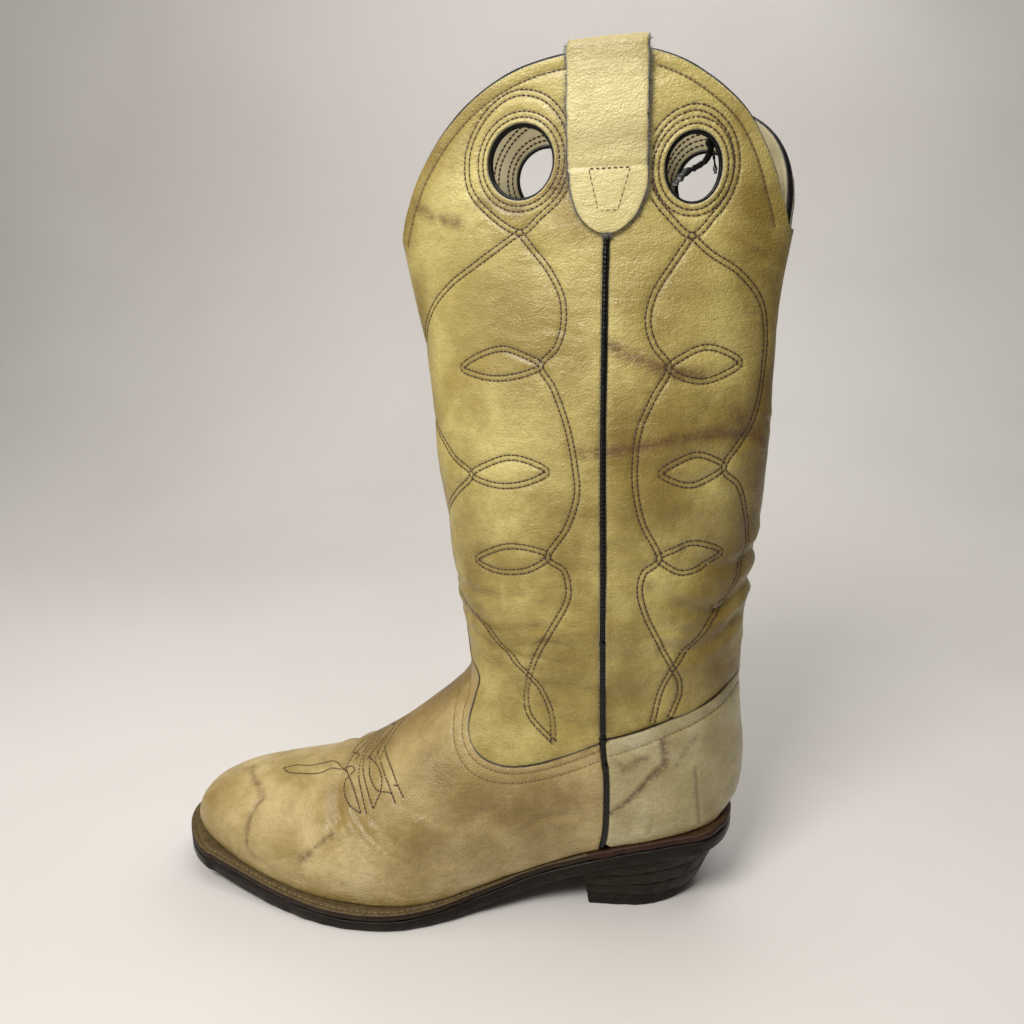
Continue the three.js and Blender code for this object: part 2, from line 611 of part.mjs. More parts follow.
function toGeometry(solid) {
  const mesh = solid.getMesh();
  const geometry = new THREE.BufferGeometry();
  const stride = mesh.numProp;
  const count = mesh.vertProperties.length / stride;
  const positions = new Float32Array(count * 3);
  for (let k = 0; k < count; k += 1) {
    positions.set(mesh.vertProperties.subarray(k * stride, k * stride + 3), k * 3);
  }
  geometry.setAttribute("position", new THREE.BufferAttribute(positions, 3));
  geometry.setIndex(new THREE.BufferAttribute(new Uint32Array(mesh.triVerts), 1));
  const merged = mergeVertices(geometry, 1e-4);
  merged.computeVertexNormals();
  return merged;
}

function build() {
  const group = new THREE.Group();
  group.name = "cowboy_boot";
  for (const [name, [solid, look]] of Object.entries({ ...upperPieces(), ...solePieces() })) {
    const [color, roughness, metalness] = LOOKS[look];
    const material = new THREE.MeshStandardMaterial({ color, roughness, metalness });
    material.name = look;
    const mesh = new THREE.Mesh(twisted(toGeometry(solid)), material);
    mesh.name = name;
    group.add(mesh);
  }
  const box = new THREE.Box3().setFromObject(group);
  const centre = box.getCenter(new THREE.Vector3());
  for (const mesh of group.children) {
    mesh.geometry.translate(-centre.x, -centre.y, 0);
  }
  return group;
}

export default build();
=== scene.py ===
"""Cowboy boot: detailed leather, stitching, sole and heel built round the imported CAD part.

The upper is one lofted skin. A place on it is (station, angle): the station runs from the toe tip
round the instep to the boot top, the angle runs from the outer side (negative) over the front
ridge (0) to the inner side. Seams and stitch lines are drawn in the side view (x, z), in the
millimetres of the part's own drawing, and mapped onto both sides of the skin.
"""

import math

import bmesh
import bpy
import numpy as np
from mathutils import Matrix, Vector
from mathutils.geometry import delaunay_2d_cdt
from mathutils.kdtree import KDTree


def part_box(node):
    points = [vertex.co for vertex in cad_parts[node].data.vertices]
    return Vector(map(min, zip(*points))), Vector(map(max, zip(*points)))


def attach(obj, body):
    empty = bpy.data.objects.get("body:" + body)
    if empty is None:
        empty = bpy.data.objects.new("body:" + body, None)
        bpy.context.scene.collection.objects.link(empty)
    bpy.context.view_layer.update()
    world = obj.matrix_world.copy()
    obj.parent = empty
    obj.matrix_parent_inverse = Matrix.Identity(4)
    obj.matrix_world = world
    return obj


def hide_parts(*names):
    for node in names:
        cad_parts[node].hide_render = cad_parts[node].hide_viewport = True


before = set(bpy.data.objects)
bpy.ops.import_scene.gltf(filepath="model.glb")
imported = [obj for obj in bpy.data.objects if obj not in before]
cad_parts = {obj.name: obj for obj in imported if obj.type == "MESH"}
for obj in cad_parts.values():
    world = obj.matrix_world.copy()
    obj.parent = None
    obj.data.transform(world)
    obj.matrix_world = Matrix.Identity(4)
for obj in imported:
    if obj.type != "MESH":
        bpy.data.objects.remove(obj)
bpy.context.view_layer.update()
RNG = np.random.default_rng(7)
MM = 0.001
SIGNS = (-1, 1)
SIDES = ((-1, "outer"), (1, "inner"))

# ---------------------------------------------------------------- drawing of the boot (mm)
LEATHER = 1.8
LINING = 1.2
STRAP_X = 79.8
STRAP_HALF_WIDTH = 16.3
STRAP_LEAN = 2.4
STRAP_BOTTOM_Z = 331.0
# Pull holes in the side view: centre x, centre z, half width, half height of the clear opening.
PULL_HOLES = {"front": (40.8, 361.2, 14.0, 14.0), "back": (113.6, 356.0, 10.8, 12.7)}
TWIST = math.radians(-12)
TWIST_X = 66.0
TWIST_Z = (120.0, 320.0)
CLOSED_STATION = 17.0
WELT_THICKNESS = 3.6
HEEL_BREAST_X = 74.0
HEEL_BACK_X = 129.5
HEEL_HALF_WIDTH = 30.0
HEEL_CAP_HEIGHT = 7.0
HEEL_SLANT = 4.0
HEEL_BACK_RISE = 17.0
HEEL_FLARE = 2.5
# At the back of the mouth the inner side bulges back and the outer side is drawn forward, in mm.
MOUTH_BULGE = 7.0
MOUTH_PULL = 2.6
MOUTH_Z = (312, 350)
MOUTH_X = (105, 145)
MOUTH_Y = 15
# Share of the heel's height that is the rubber cap.
CAP_LEVEL = 0.3
STITCH_PITCH = 2.15
ROW_GAP = 2.3

# front x, z | back or sole x, z | half width outer, inner | edge half width outer, inner |
# place of the widest point | squareness
SECTIONS = np.array([
    [-145.5, 28, -145.5, 28, 0, 0, 0, 0, 0.45, 2.0],
    [-144.7, 33, -144.2, 23, 8, 8, 0, 0, 0.42, 2.0],
    [-142, 37.5, -141, 21.5, 14.5, 14.5, 6.5, 6.5, 0.38, 2.1],
    [-136, 42.5, -135, 20, 21, 20, 15, 14.5, 0.34, 2.2],
    [-125.5, 47.5, -124.5, 18, 28.5, 27.5, 23.5, 22.5, 0.3, 2.2],
    [-110, 52, -109, 15.2, 36, 34.5, 32, 30.5, 0.28, 2.1],
    [-88, 56.5, -87, 12.2, 44.5, 40, 41.5, 37.5, 0.26, 2.0],
    [-64, 62, -61, 10.2, 51.5, 43, 49.5, 40.5, 0.25, 1.9],
    [-42, 73.5, -34, 9.6, 54, 44, 52.5, 41, 0.25, 1.85],
    [-19, 91, -8, 10.6, 52.5, 42.5, 50.5, 37.5, 0.27, 1.8],
    [0, 106.5, 17, 14.8, 46, 39.5, 38.5, 32, 0.32, 1.8],
    [9.5, 117.5, 44, 23.5, 41.5, 38, 31, 29, 0.38, 1.85],
    [11, 124, 76, 34.5, 39.5, 38, 29.5, 29, 0.42, 1.9],
    [10, 130, 108, 42, 39, 38, 29.5, 29, 0.45, 1.9],
    [9.5, 135, 134, 47, 38.5, 38, 24, 23.5, 0.47, 1.9],
    [9, 139, 147.5, 50, 38, 38, 4, 4, 0.48, 1.9],
    [8, 143.5, 152, 60, 38, 38, 0, 0, 0.49, 1.9],
    [7, 149, 152.5, 78, 38.5, 38.5, 0, 0, 0.5, 1.9],
    [5.5, 156, 149.5, 100, 39, 39, 0, 0, 0.5, 1.9],
    [4, 164, 147, 122, 39.5, 39.5, 0, 0, 0.5, 1.9],
    [2, 175, 146.5, 146, 40, 40, 0, 0, 0.5, 1.85],
    [-0.5, 189, 147.5, 171, 40, 40, 0, 0, 0.5, 1.85],
    [-3, 208, 149.5, 198, 39.5, 39.5, 0, 0, 0.5, 1.8],
    [-6.5, 230, 151, 225, 38.5, 38.5, 0, 0, 0.49, 1.8],
    [-10, 256, 150.5, 254, 36.5, 36.5, 0, 0, 0.475, 1.75],
    [-13.5, 282, 149.5, 282, 34, 34, 0, 0, 0.455, 1.7],
    [-19, 308, 150, 308, 31, 31, 0, 0, 0.44, 1.7],
    [-26.5, 334, 153, 334, 28.5, 28.5, 0, 0, 0.425, 1.7],
    [-31, 366, 156, 366, 27, 27, 0, 0, 0.42, 1.7],
    [-32, 412, 157, 412, 26.5, 26.5, 0, 0, 0.42, 1.7],
])
TOP_STATION = len(SECTIONS) - 1.0

# Seams in the side view (x, z).
SIDE_SEAM = [(79.5, 410), (79.5, 330), (80, 276), (78, 192), (77, 149), (78.2, 100), (80.5, 80), (81, 52),
             (79.3, 35)]
VAMP_TOP = [
    (8, 143.5), (9.5, 138), (11.5, 130), (16.5, 121.5), (14.5, 112), (12.2, 103), (13, 95), (17.5, 88.6),
    (25, 85), (35, 84), (48, 86.6), (63, 92.6), (78.2, 99.6),
]
COUNTER_TOP = [(78.2, 100.6), (95, 106), (108, 111), (121, 115), (133, 120), (143, 126), (147.5, 129)]
RIM = [
    (-26.4, 331), (-24, 336.5), (-18, 348), (-10, 361), (2, 375), (16, 386.5), (34, 395.5), (54, 400),
    (80, 401.5), (98, 399), (116, 391), (134, 378), (144.5, 362), (150.3, 345), (152.6, 334),
]

# Sole edge in plan: x, half width outer, half width inner.
SOLE_EDGE = np.array([
    [-128, 33, 31.5], [-110, 40, 38], [-88, 48.5, 43.5], [-64, 56, 46.5], [-42, 59, 47], [-19, 57.5, 45],
    [0, 51.5, 41], [17, 44.5, 38], [44, 36.5, 34.5], [72, 34.5, 34], [100, 33.5, 33.5], [125, 31.5, 31.5],
])
TOE_X = -152.0
SOLE_BACK_X = 148.5
SOLE_UNDERSIDE = np.array([
    [-152, 13.5], [-140, 10.4], [-128, 7.6], [-110, 4.2], [-88, 1.4], [-64, 0.2], [-54, 0], [-34, 0],
    [-19, 0.5],
    [0, 2], [17, 4.8], [44, 12], [72, 21.5], [100, 28], [125, 33], [140, 36.5], [151, 38],
])

# Stitch lines in the side view (x, z). Each is a double row unless said otherwise.
FRONT_LINES = [
    [(41, 333), (21, 321), (6, 312), (-6, 301), (-12.5, 288), (-13.5, 273), (-11.5, 260), (-7, 247), (6, 233),
     (16, 226), (7, 216), (0, 206), (-2.5, 194), (-1, 182), (2, 170), (8, 160), (17, 153), (30, 141),
     (42, 130)],
    [(41, 333), (48, 325), (55, 317), (61, 306), (62, 295), (59, 285), (52, 277), (58, 267), (64, 250),
     (67, 232), (67, 220), (62, 206), (53, 192), (60, 186), (62, 177), (60, 169), (53, 156), (46, 142),
     (42, 130)],
    [(42, 130), (48, 123), (53, 112), (54.5, 98)],
    [(42, 130), (40.5, 120), (43, 109), (54.5, 98)],
    [(41, 333), (27, 341), (17, 352), (16, 366), (22, 378), (32, 386), (42, 388), (53, 384), (61, 374),
     (63.5, 360), (60, 348), (50, 339), (41, 333)],
    [(12, 275), (22, 281), (34, 284), (45, 281), (52, 277), (43, 273), (31, 271), (20, 272), (12, 275)],
    [(54, 231), (46, 235), (36, 236), (25, 232), (16, 226), (25, 223), (35, 223), (46, 226), (54, 231)],
    [(17, 185), (25, 191), (35, 195), (46, 195), (53, 192), (44, 185), (33, 182), (24, 182), (17, 185)],
]
BACK_LINES = [
    [(114, 330), (122, 323), (133, 316), (142, 306), (145.5, 295), (146, 280), (145, 264), (141, 250),
     (131, 234), (138, 225), (142, 213), (144, 198), (141, 182), (133, 167), (122, 153), (110, 138)],
    [(114, 330), (107, 319), (100, 307), (98, 296), (101, 286), (107, 277), (101, 265), (95, 251), (93, 237),
     (93, 224), (96, 209), (103, 193), (96, 186), (94, 177), (97, 165), (103, 152), (110, 138)],
    [(110, 138), (113.5, 131), (114, 123), (109.5, 112.5)],
    [(110, 138), (106, 130), (103.5, 121), (101.5, 110)],
    [(114, 330), (104, 338), (97, 347), (95, 357), (97, 367), (103, 374.5), (112, 378), (121, 375.5),
     (128.5, 368),
     (131.5, 357), (129, 346), (122.5, 337.5), (114, 330)],
    [(136, 279), (129, 284), (121, 285.5), (113, 282), (107, 277), (113, 273), (121, 271.5), (129, 274),
     (136, 279)],
    [(104, 232), (111, 237), (119, 240), (126, 238), (131, 234), (124, 229), (117, 226.5), (110, 228),
     (104, 232)],
    [(131, 194), (125, 198), (118, 199.5), (110, 197), (103, 193), (108, 188), (114, 185.5), (123, 188),
     (131, 194)],
]
HOLE_ROW_MARGIN = 4.6
RIM_ROW_DROP = 5.6
VAMP_ROWS = [
    [(10.5, 122), (11, 113), (8.8, 104), (9, 95), (12.5, 88.5), (18.5, 84), (27, 81.4), (37, 81), (50, 83.8),
     (64, 89.2), (77, 95.4)],
    [(5, 112), (3.8, 103), (4.2, 94), (7.5, 86.5), (14, 80.2), (23, 76.8), (35, 76), (49, 78.6), (64, 84),
     (77, 90)],
]
COUNTER_ROWS = [[(82, 92.5), (95, 97.5), (107, 102.5), (121, 107.5), (133, 112.5), (143, 118), (148, 121)]]
# Stitched ornament on the vamp: a leaf on its axis, and rows that are repeated beyond the axis.
TOE_LEAF = [
    [(-95.5, 54.7), (-88, 56.4), (-80, 58), (-74, 59.5), (-68, 61.2), (-63, 62.6), (-58.5, 63.2),
     (-54, 63.7)],
    [(-95.5, 54.7), (-90, 55.2), (-83, 56.4), (-75, 57.9), (-69.5, 59.4), (-64, 61.4), (-58.5, 63.2),
     (-51.5, 65.6)],
]
TOE_WINGS = [
    [(-56, 63.9), (-52.5, 63.2), (-48.5, 61.7), (-45, 59), (-41.5, 55.1)],
    [(-51.5, 65.6), (-50, 65.4), (-52, 63.3), (-54.3, 61.5), (-53.6, 59.4), (-50.8, 57.5), (-46.7, 55.7),
     (-41.5, 55.1)],
    [(-48, 68), (-47.4, 66.4), (-46.6, 65), (-42.8, 61.4), (-38.5, 55.6)],
    [(-46.4, 69.2), (-44.9, 67.3), (-41.7, 64.8), (-38, 61.2), (-35.2, 58)],
    [(-35.2, 58), (-32.4, 64.3)],
    [(-44.3, 70.6), (-38.6, 71.4), (-34.7, 70.7), (-32.4, 68.4), (-32.2, 64.8)],
    [(-42.5, 71.6), (-41.2, 69), (-38.5, 66.4), (-33.6, 64.6), (-26.5, 65.6), (-23.4, 62.6)],
    [(-39.5, 74.2), (-34.2, 72.4), (-30.6, 70), (-27.1, 67), (-23.4, 62.6)],
    [(-36, 76.8), (-33.4, 76), (-28.9, 74), (-25, 71), (-19.2, 65.3)],
    [(-25.8, 68.6), (-23, 69)],
]
TOE_AXIS = -0.33

# Stains and scuffs on the outer side: points (x, z), half width in mm, strength.
STAINS = [
    ([(-120, 49), (-114, 50.5), (-104, 50), (-100, 48)], 1.9, 0.75),
    ([(-100, 48), (-104, 43), (-105, 35), (-105, 28)], 1.3, 0.7),
    ([(-104, 28), (-98, 24), (-92, 25)], 1.4, 0.45),
    ([(-74, 60), (-66, 61)], 2.2, 0.35),
    ([(22, 347), (30, 344), (40, 342)], 3.0, 0.5),
    ([(57, 350), (62, 356), (65, 364)], 3.4, 0.75),
    ([(118, 255), (122, 262)], 1.0, 0.5),
    ([(136, 256), (141, 250)], 4.5, 0.8),
    ([(62, 214), (76, 213)], 2.0, 0.35),
    ([(84, 90), (90, 86), (94, 88)], 1.6, 0.6),
    ([(81, 287), (93, 281), (108, 276), (120, 274)], 3.2, 0.9),
    ([(70, 240), (92, 243), (110, 247), (128, 249), (144, 247), (150, 240)], 2.6, 0.95),
    ([(-12, 347), (0, 341), (12, 338)], 2.8, 0.8),
    ([(107, 101), (108, 94), (108, 87), (104, 83)], 2.0, 1.0),
    ([(108, 87), (103, 83), (97, 75), (90, 67), (83, 61)], 1.7, 1.0),
    ([(99, 92), (94, 90), (88, 85)], 1.7, 0.85),
    ([(123, 101), (118, 94), (114, 87)], 1.2, 0.75),
    ([(124, 84), (126, 68), (128, 51)], 0.8, 0.5),
    ([(-64, 38), (-55, 45)], 1.3, 0.7),
    ([(-72, 31.5), (-67, 35.5)], 2.3, 0.85),
    ([(62, 354), (64, 348)], 3.6, 0.5),
    ([(130, 330), (144, 322)], 1.0, 0.5),
]
# Painted shade on both sides: broad areas darkened where the boot lies in shade, at the instep also darker
# stained leather. Points (x, z), half width in mm, strength.
PAINTED_SHADES = [
    ([(-36, 78), (-18, 96), (2, 122)], 22, 1.0),
    ([(-8, 82), (8, 66), (44, 66), (72, 70)], 14, 0.6),
    ([(-20, 50), (20, 40), (60, 44)], 15, 0.45),
    ([(-62, 58), (-54, 58)], 8, 0.5),
    ([(-30, 58), (-18, 52)], 10, 0.4),
    ([(-132, 40), (-122, 32)], 8, 0.35),
    ([(142, 340), (147, 290), (146, 250), (144, 210)], 18, 1.0),
    ([(140, 190), (134, 165), (128, 140), (138, 128)], 24, 1.0),
    ([(90, 130), (92, 170), (90, 215)], 12, 0.55),
    ([(-26, 336), (-18, 352), (-4, 370), (20, 385)], 12, 1.0),
    ([(-14, 310), (-12, 260), (-8, 200)], 9, 0.85),
    ([(84, 252), (104, 246), (132, 250)], 22, 0.75),
    ([(66, 240), (60, 262), (70, 280)], 10, 0.5),
    ([(34, 300), (60, 262), (70, 190)], 24, 0.45),
    ([(108, 310), (104, 215)], 20, 0.5),
    ([(10, 195), (14, 160), (30, 140)], 18, 0.7),
    ([(60, 140), (40, 128), (30, 110)], 16, 0.6),
    ([(0, 150), (10, 130), (16, 112)], 10, 0.6),
    ([(138, 100), (141, 80), (138, 62)], 13, 0.6),
    ([(62, 380), (60, 350), (66, 335)], 8, 0.55),
    ([(128, 378), (138, 352)], 9, 0.6),
    ([(30, 345), (45, 342)], 7, 0.5),
    ([(79, 110), (79, 190)], 7, 0.5),
]
# Creases pressed into the leather: points (x, z), half width in mm, depth in mm.
VAMP_CREASES = [
    ([(-60, 64), (-58.5, 61), (-56.5, 56), (-54, 50)], 3.2, 1.6),
    ([(-52, 56), (-46, 51), (-38, 45), (-32, 41)], 1.0, 0.36),
    ([(-54, 53), (-47, 46), (-38, 38), (-30, 33)], 1.0, 0.4),
    ([(-56, 50), (-50, 41), (-43, 31), (-36, 24)], 1.1, 0.38),
    ([(-58, 47), (-55, 37), (-52, 28), (-50, 20)], 1.1, 0.34),
    ([(-46, 55), (-36, 48), (-24, 40), (-14, 36)], 1.2, 0.6),
    ([(-36, 30), (-28, 22), (-20, 17)], 1.2, 0.45),
    ([(-34, 54), (-22, 46), (-8, 38), (4, 33)], 1.5, 0.5),
    ([(-100, 48), (-104, 43), (-105, 35), (-105, 28)], 1.0, 0.45),
    ([(-64, 38), (-55, 45)], 0.9, 0.4),
    ([(-90, 26), (-80, 30), (-74, 33)], 1.0, 0.35),
    ([(-20, 62), (-4, 58), (14, 50)], 2.2, 0.45),
    ([(10, 56), (24, 62), (40, 60)], 2.2, 0.35),
    ([(40, 50), (52, 58), (66, 60)], 2.0, 0.4),
]
COUNTER_CREASES = [
    ([(124, 84), (126, 68), (128, 51)], 0.9, 0.5),
    ([(108, 87), (103, 83), (97, 75), (90, 67), (83, 61)], 1.0, 0.4),
    ([(107, 101), (108, 94), (108, 87)], 1.0, 0.4),
    ([(98, 66), (104, 58), (103, 48)], 0.9, 0.35),
    ([(112, 60), (116, 54), (118, 46)], 1.0, 0.3),
]
SHAFT_CREASES = [
    ([(70, 290), (56, 293), (42, 291), (30, 294)], 1.6, 0.4),
    ([(66, 283), (50, 280), (36, 284)], 1.5, 0.35),
    ([(58, 322), (40, 326), (24, 320)], 1.6, 0.35),
    ([(66, 146), (56, 150), (48, 149)], 1.5, 0.45),
    ([(60, 138), (50, 141), (40, 139)], 1.5, 0.4),
    ([(0, 172), (16, 168), (30, 169), (42, 172)], 2.2, 0.7),
    ([(2, 158), (18, 151), (34, 152), (50, 158)], 2.4, 0.8),
    ([(10, 146), (24, 140), (38, 139)], 2.0, 0.7),
    ([(152, 194), (140, 187), (128, 188), (116, 196)], 3.0, 1.2),
    ([(148, 176), (136, 168), (124, 165), (112, 170), (100, 178)], 3.0, 1.6),
    ([(142, 158), (130, 150), (118, 146), (106, 148)], 3.0, 1.3),
    ([(128, 160), (116, 157), (104, 160)], 1.6, 0.5),
    ([(96, 196), (84, 199), (76, 197)], 1.8, 0.4),
    ([(150, 252), (138, 247), (126, 248)], 2.4, 0.5),
]
CREASES = VAMP_CREASES + COUNTER_CREASES + SHAFT_CREASES


# ---------------------------------------------------------------- maths of the skin
def smoothstep(low, high, value):
    f = np.clip((value - low) / (high - low), 0.0, 1.0)
    return f * f * (3 - 2 * f)


def section_at(station):
    """Uniform cubic B-spline through SECTIONS, with mirrored ends."""
    t = np.clip(np.asarray(station, float), 0, TOP_STATION - 1e-7)
    i = np.floor(t).astype(int)
    f = (t - i)[..., None]
    rows = np.vstack([2 * SECTIONS[0] - SECTIONS[1], SECTIONS, 2 * SECTIONS[-1] - SECTIONS[-2]])
    a, b, c, d = rows[i], rows[i + 1], rows[i + 2], rows[np.minimum(i + 3, len(rows) - 1)]
    return ((1 - f) ** 3 * a + (3 * f ** 3 - 6 * f ** 2 + 4) * b
            + (-3 * f ** 3 + 3 * f ** 2 + 3 * f + 1) * c + f ** 3 * d) / 6


def wrapped(angle):
    """Angle brought into -PI to PI; exactly PI stays on the inner side."""
    angle = np.asarray(angle, float)
    return np.where(np.abs(angle) > math.pi + 1e-9, (angle + math.pi) % (2 * math.pi) - math.pi, angle)


def skin(station, angle):
    """Point on the skin before the shaft is twisted, in mm."""
    station, angle = np.broadcast_arrays(np.asarray(station, float), wrapped(angle))
    row = section_at(station)
    fx, fz, bx, bz, wide_o, wide_i, edge_o, edge_i, widest, square = [row[..., k] for k in range(10)]
    a = np.abs(angle)
    outer = angle < 0
    c = np.abs(np.cos(a))
    s = np.abs(np.sin(a))
    front = a <= math.pi / 2
    wide = np.where(outer, wide_o, wide_i)
    edge = np.maximum(np.where(outer, edge_o, edge_i), 0)
    h = np.where(front, widest + (1 - widest) * c, widest * (1 - c))
    reach = s ** (2 / square)
    y = np.where(front, wide * reach, edge + (wide - edge) * reach)
    return np.stack([bx + (fx - bx) * h, np.where(outer, -y, y), bz + (fz - bz) * h], -1)


def unit(vectors):
    return vectors / (np.linalg.norm(vectors, axis=-1, keepdims=True) + 1e-9)


def arc_length(points):
    """Length along a line of points, at each point."""
    return np.concatenate([[0], np.cumsum(np.linalg.norm(np.diff(points, axis=0), axis=1))])


TANGENT_STEP = 0.012
EDGE_ANGLE = math.pi - 0.05
TOE_TIP_STATION = 0.05


def tangents(station, angle):
    """Change of the skin point with the station and with the angle."""
    low = np.maximum(station - TANGENT_STEP, 0)
    high = np.minimum(station + TANGENT_STEP, TOP_STATION)
    along = (skin(high, angle) - skin(low, angle)) / (high - low)[..., None]
    around = (skin(station, angle + TANGENT_STEP) - skin(station, angle - TANGENT_STEP)) / (2 * TANGENT_STEP)
    return along, around


def normals(station, angle):
    """Unit vectors out of the skin; straight back behind the heel and straight forward at the toe tip."""
    station, angle = np.broadcast_arrays(np.asarray(station, float), wrapped(angle))
    along, around = tangents(station, np.clip(angle, -EDGE_ANGLE, EDGE_ANGLE))
    n = np.cross(along, around)
    at_back = (np.abs(angle) > EDGE_ANGLE) & (station > CLOSED_STATION - 1)
    n[..., 1] = np.where(at_back, 0, n[..., 1])
    n[..., 0] = np.where(station < TOE_TIP_STATION, -1.0, n[..., 0])
    return unit(n)


def skin_at(uv):
    return skin(uv[:, 0], uv[:, 1])


def normals_at(uv):
    return normals(uv[:, 0], uv[:, 1])


def sole_shift():
    """Offset from the drawing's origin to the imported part's origin, read from the heel cap."""
    low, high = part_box("heel_cap")
    return np.array([low.x / MM - (HEEL_BREAST_X - HEEL_SLANT * CAP_LEVEL), (low.y + high.y) / 2 / MM, 0.0])


SHIFT = sole_shift()


def placed(points):
    """Drawing millimetres to the part's frame in metres, with the mouth swayed and the shaft turned."""
    p = np.asarray(points, float)
    turn = TWIST * smoothstep(*TWIST_Z, p[..., 2])
    y = p[..., 1]
    share = smoothstep(*MOUTH_Z, p[..., 2]) * smoothstep(*MOUTH_X, p[..., 0])
    sway = MOUTH_BULGE * smoothstep(0, MOUTH_Y, y) - MOUTH_PULL * smoothstep(0, MOUTH_Y, -y)
    x = p[..., 0] + sway * share - TWIST_X
    turned_x = TWIST_X + x * np.cos(turn) - y * np.sin(turn)
    turned_y = x * np.sin(turn) + y * np.cos(turn)
    return (np.stack([turned_x, turned_y, p[..., 2]], -1) + SHIFT) * MM


def curve_through(points, spacing=1.0):
    """Catmull-Rom curve through 2D or 3D points, resampled evenly."""
    p = np.asarray(points, float)
    if len(p) == 2:
        dense = p[0] + (p[1] - p[0]) * np.linspace(0, 1, 50)[:, None]
    else:
        closed = np.allclose(p[0], p[-1])
        first = p[-2] if closed else 2 * p[0] - p[1]
        last = p[1] if closed else 2 * p[-1] - p[-2]
        ext = np.vstack([first, p, last])
        f = np.linspace(0, 1, 16, endpoint=False)[:, None]
        spans = []
        for a, b, c, d in zip(ext[:-3], ext[1:-2], ext[2:-1], ext[3:]):
            spans.append(0.5 * (2 * b + (c - a) * f + (2 * a - 5 * b + 4 * c - d) * f ** 2
                                + (3 * b - a - 3 * c + d) * f ** 3))
        dense = np.vstack(spans + [p[-1:]])
    return resampled(dense, spacing)


def resampled(points, spacing):
    length = arc_length(points)
    count = max(int(round(length[-1] / spacing)), 2)
    at = np.linspace(0, length[-1], count + 1)
    return np.stack([np.interp(at, length, column) for column in points.T], -1)


SCAN_T = np.linspace(0.3, TOP_STATION, 2400)
SCAN_ROWS = section_at(SCAN_T)
BEYOND_CHORD = 200.0


def on_skin(points):
    """Side-view points (x, z) to (station, unsigned angle).

    Each section is a chord from the back ridge to the front ridge. The station is where the chord
    runs through the point, and the angle comes from how far along the chord the point lies.
    """
    back = SCAN_ROWS[:, 2:4]
    chord = SCAN_ROWS[:, 0:2] - back
    length = np.linalg.norm(chord, axis=1)
    found = []
    for q in np.asarray(points, float):
        rel = q - back
        h = (rel * chord).sum(1) / length ** 2
        cross = rel[:, 0] * chord[:, 1] - rel[:, 1] * chord[:, 0]
        miss = np.abs(cross) / length + BEYOND_CHORD * (np.maximum(h - 1, 0) + np.maximum(-h, 0))
        i = int(np.argmin(miss))
        t = SCAN_T[i]
        for j in (i - 1, i):
            if 0 <= j < len(SCAN_T) - 1 and cross[j] * cross[j + 1] < 0:
                t = SCAN_T[j] + (SCAN_T[j + 1] - SCAN_T[j]) * cross[j] / (cross[j] - cross[j + 1])
        row = section_at(t)
        across = row[0:2] - row[2:4]
        h = float(np.clip(((q - row[2:4]) * across).sum() / (across ** 2).sum(), 0, 1))
        widest = row[8]
        if h > widest:
            angle = math.acos(min((h - widest) / (1 - widest), 1))
        else:
            angle = math.pi - math.acos(min(1 - h / widest, 1))
        found.append((t, angle))
    return np.array(found)


def side_line(points, side, spacing=1.0):
    """Side-view line as (station, signed angle) points on one side of the boot."""
    uv = on_skin(curve_through(points, spacing))
    uv[:, 1] *= side
    return uv


def surface(uv, offset):
    """Skin points in mm at a distance outwards from the skin."""
    return skin_at(uv) + normals_at(uv) * np.asarray(offset, float).reshape(-1, 1)


# ---------------------------------------------------------------- mesh helpers
def new_object(name, vertices, faces):
    """Smooth-shaded object from vertices in metres."""
    mesh = bpy.data.meshes.new(name)
    mesh.from_pydata([tuple(v) for v in np.asarray(vertices, float).tolist()], [], faces)
    mesh.validate()
    mesh.update()
    mesh.shade_smooth()
    obj = bpy.data.objects.new(name, mesh)
    bpy.context.scene.collection.objects.link(obj)
    return obj


def finish_piece(obj, nodes, material):
    """Give a piece its material, hang it under the root body and hide the CAD nodes that it replaces."""
    obj.data.materials.append(material)
    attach(obj, "root")
    if nodes:
        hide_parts(*nodes)
    return obj


def add_piece(name, vertices, faces, nodes, material):
    """New piece from vertices in drawing millimetres."""
    return finish_piece(new_object(name, placed(vertices), faces), nodes, material)


def set_attribute(obj, name, values):
    attribute = obj.data.attributes.new(name, "FLOAT", "POINT")
    attribute.data.foreach_set("value", np.asarray(values, np.float32))


def inside_polygon(points, polygon):
    """A point is inside when a line from it crosses the outline an odd number of times."""
    x, y = points[:, 0], points[:, 1]
    inside = np.zeros(len(points), bool)
    for (ax, ay), (bx, by) in zip(polygon, np.roll(polygon, -1, axis=0)):
        crosses = (ay > y) != (by > y)
        if crosses.any():
            inside ^= crosses & (x < (bx - ax) * (y - ay) / (by - ay) + ax)
    return inside


def within(points, loops):
    """True for points inside the first loop and outside the others."""
    keep = inside_polygon(points, loops[0])
    for hole in loops[1:]:
        keep &= ~inside_polygon(points, hole)
    return keep


def anticlockwise(loop):
    x, y = loop[:, 0], loop[:, 1]
    area = (x * np.roll(y, -1) - np.roll(x, -1) * y).sum()
    return loop if area > 0 else loop[::-1]


def distance_to(points, targets):
    """Distance from each point to the nearest of the targets."""
    tree = KDTree(len(targets))
    for i, p in enumerate(targets):
        tree.insert(p, i)
    tree.balance()
    return np.array([tree.find(p)[2] for p in points])


def row_distance(points, rows):
    """Distance in mm from points to the nearest of several (side, points, normals) rows."""
    return distance_to(points, np.vstack([p for _, p, _ in rows]))


# About how many mm one station and one radian are, for measures in (station, angle).
UV_SCALE = np.array([14.0, 42.0])
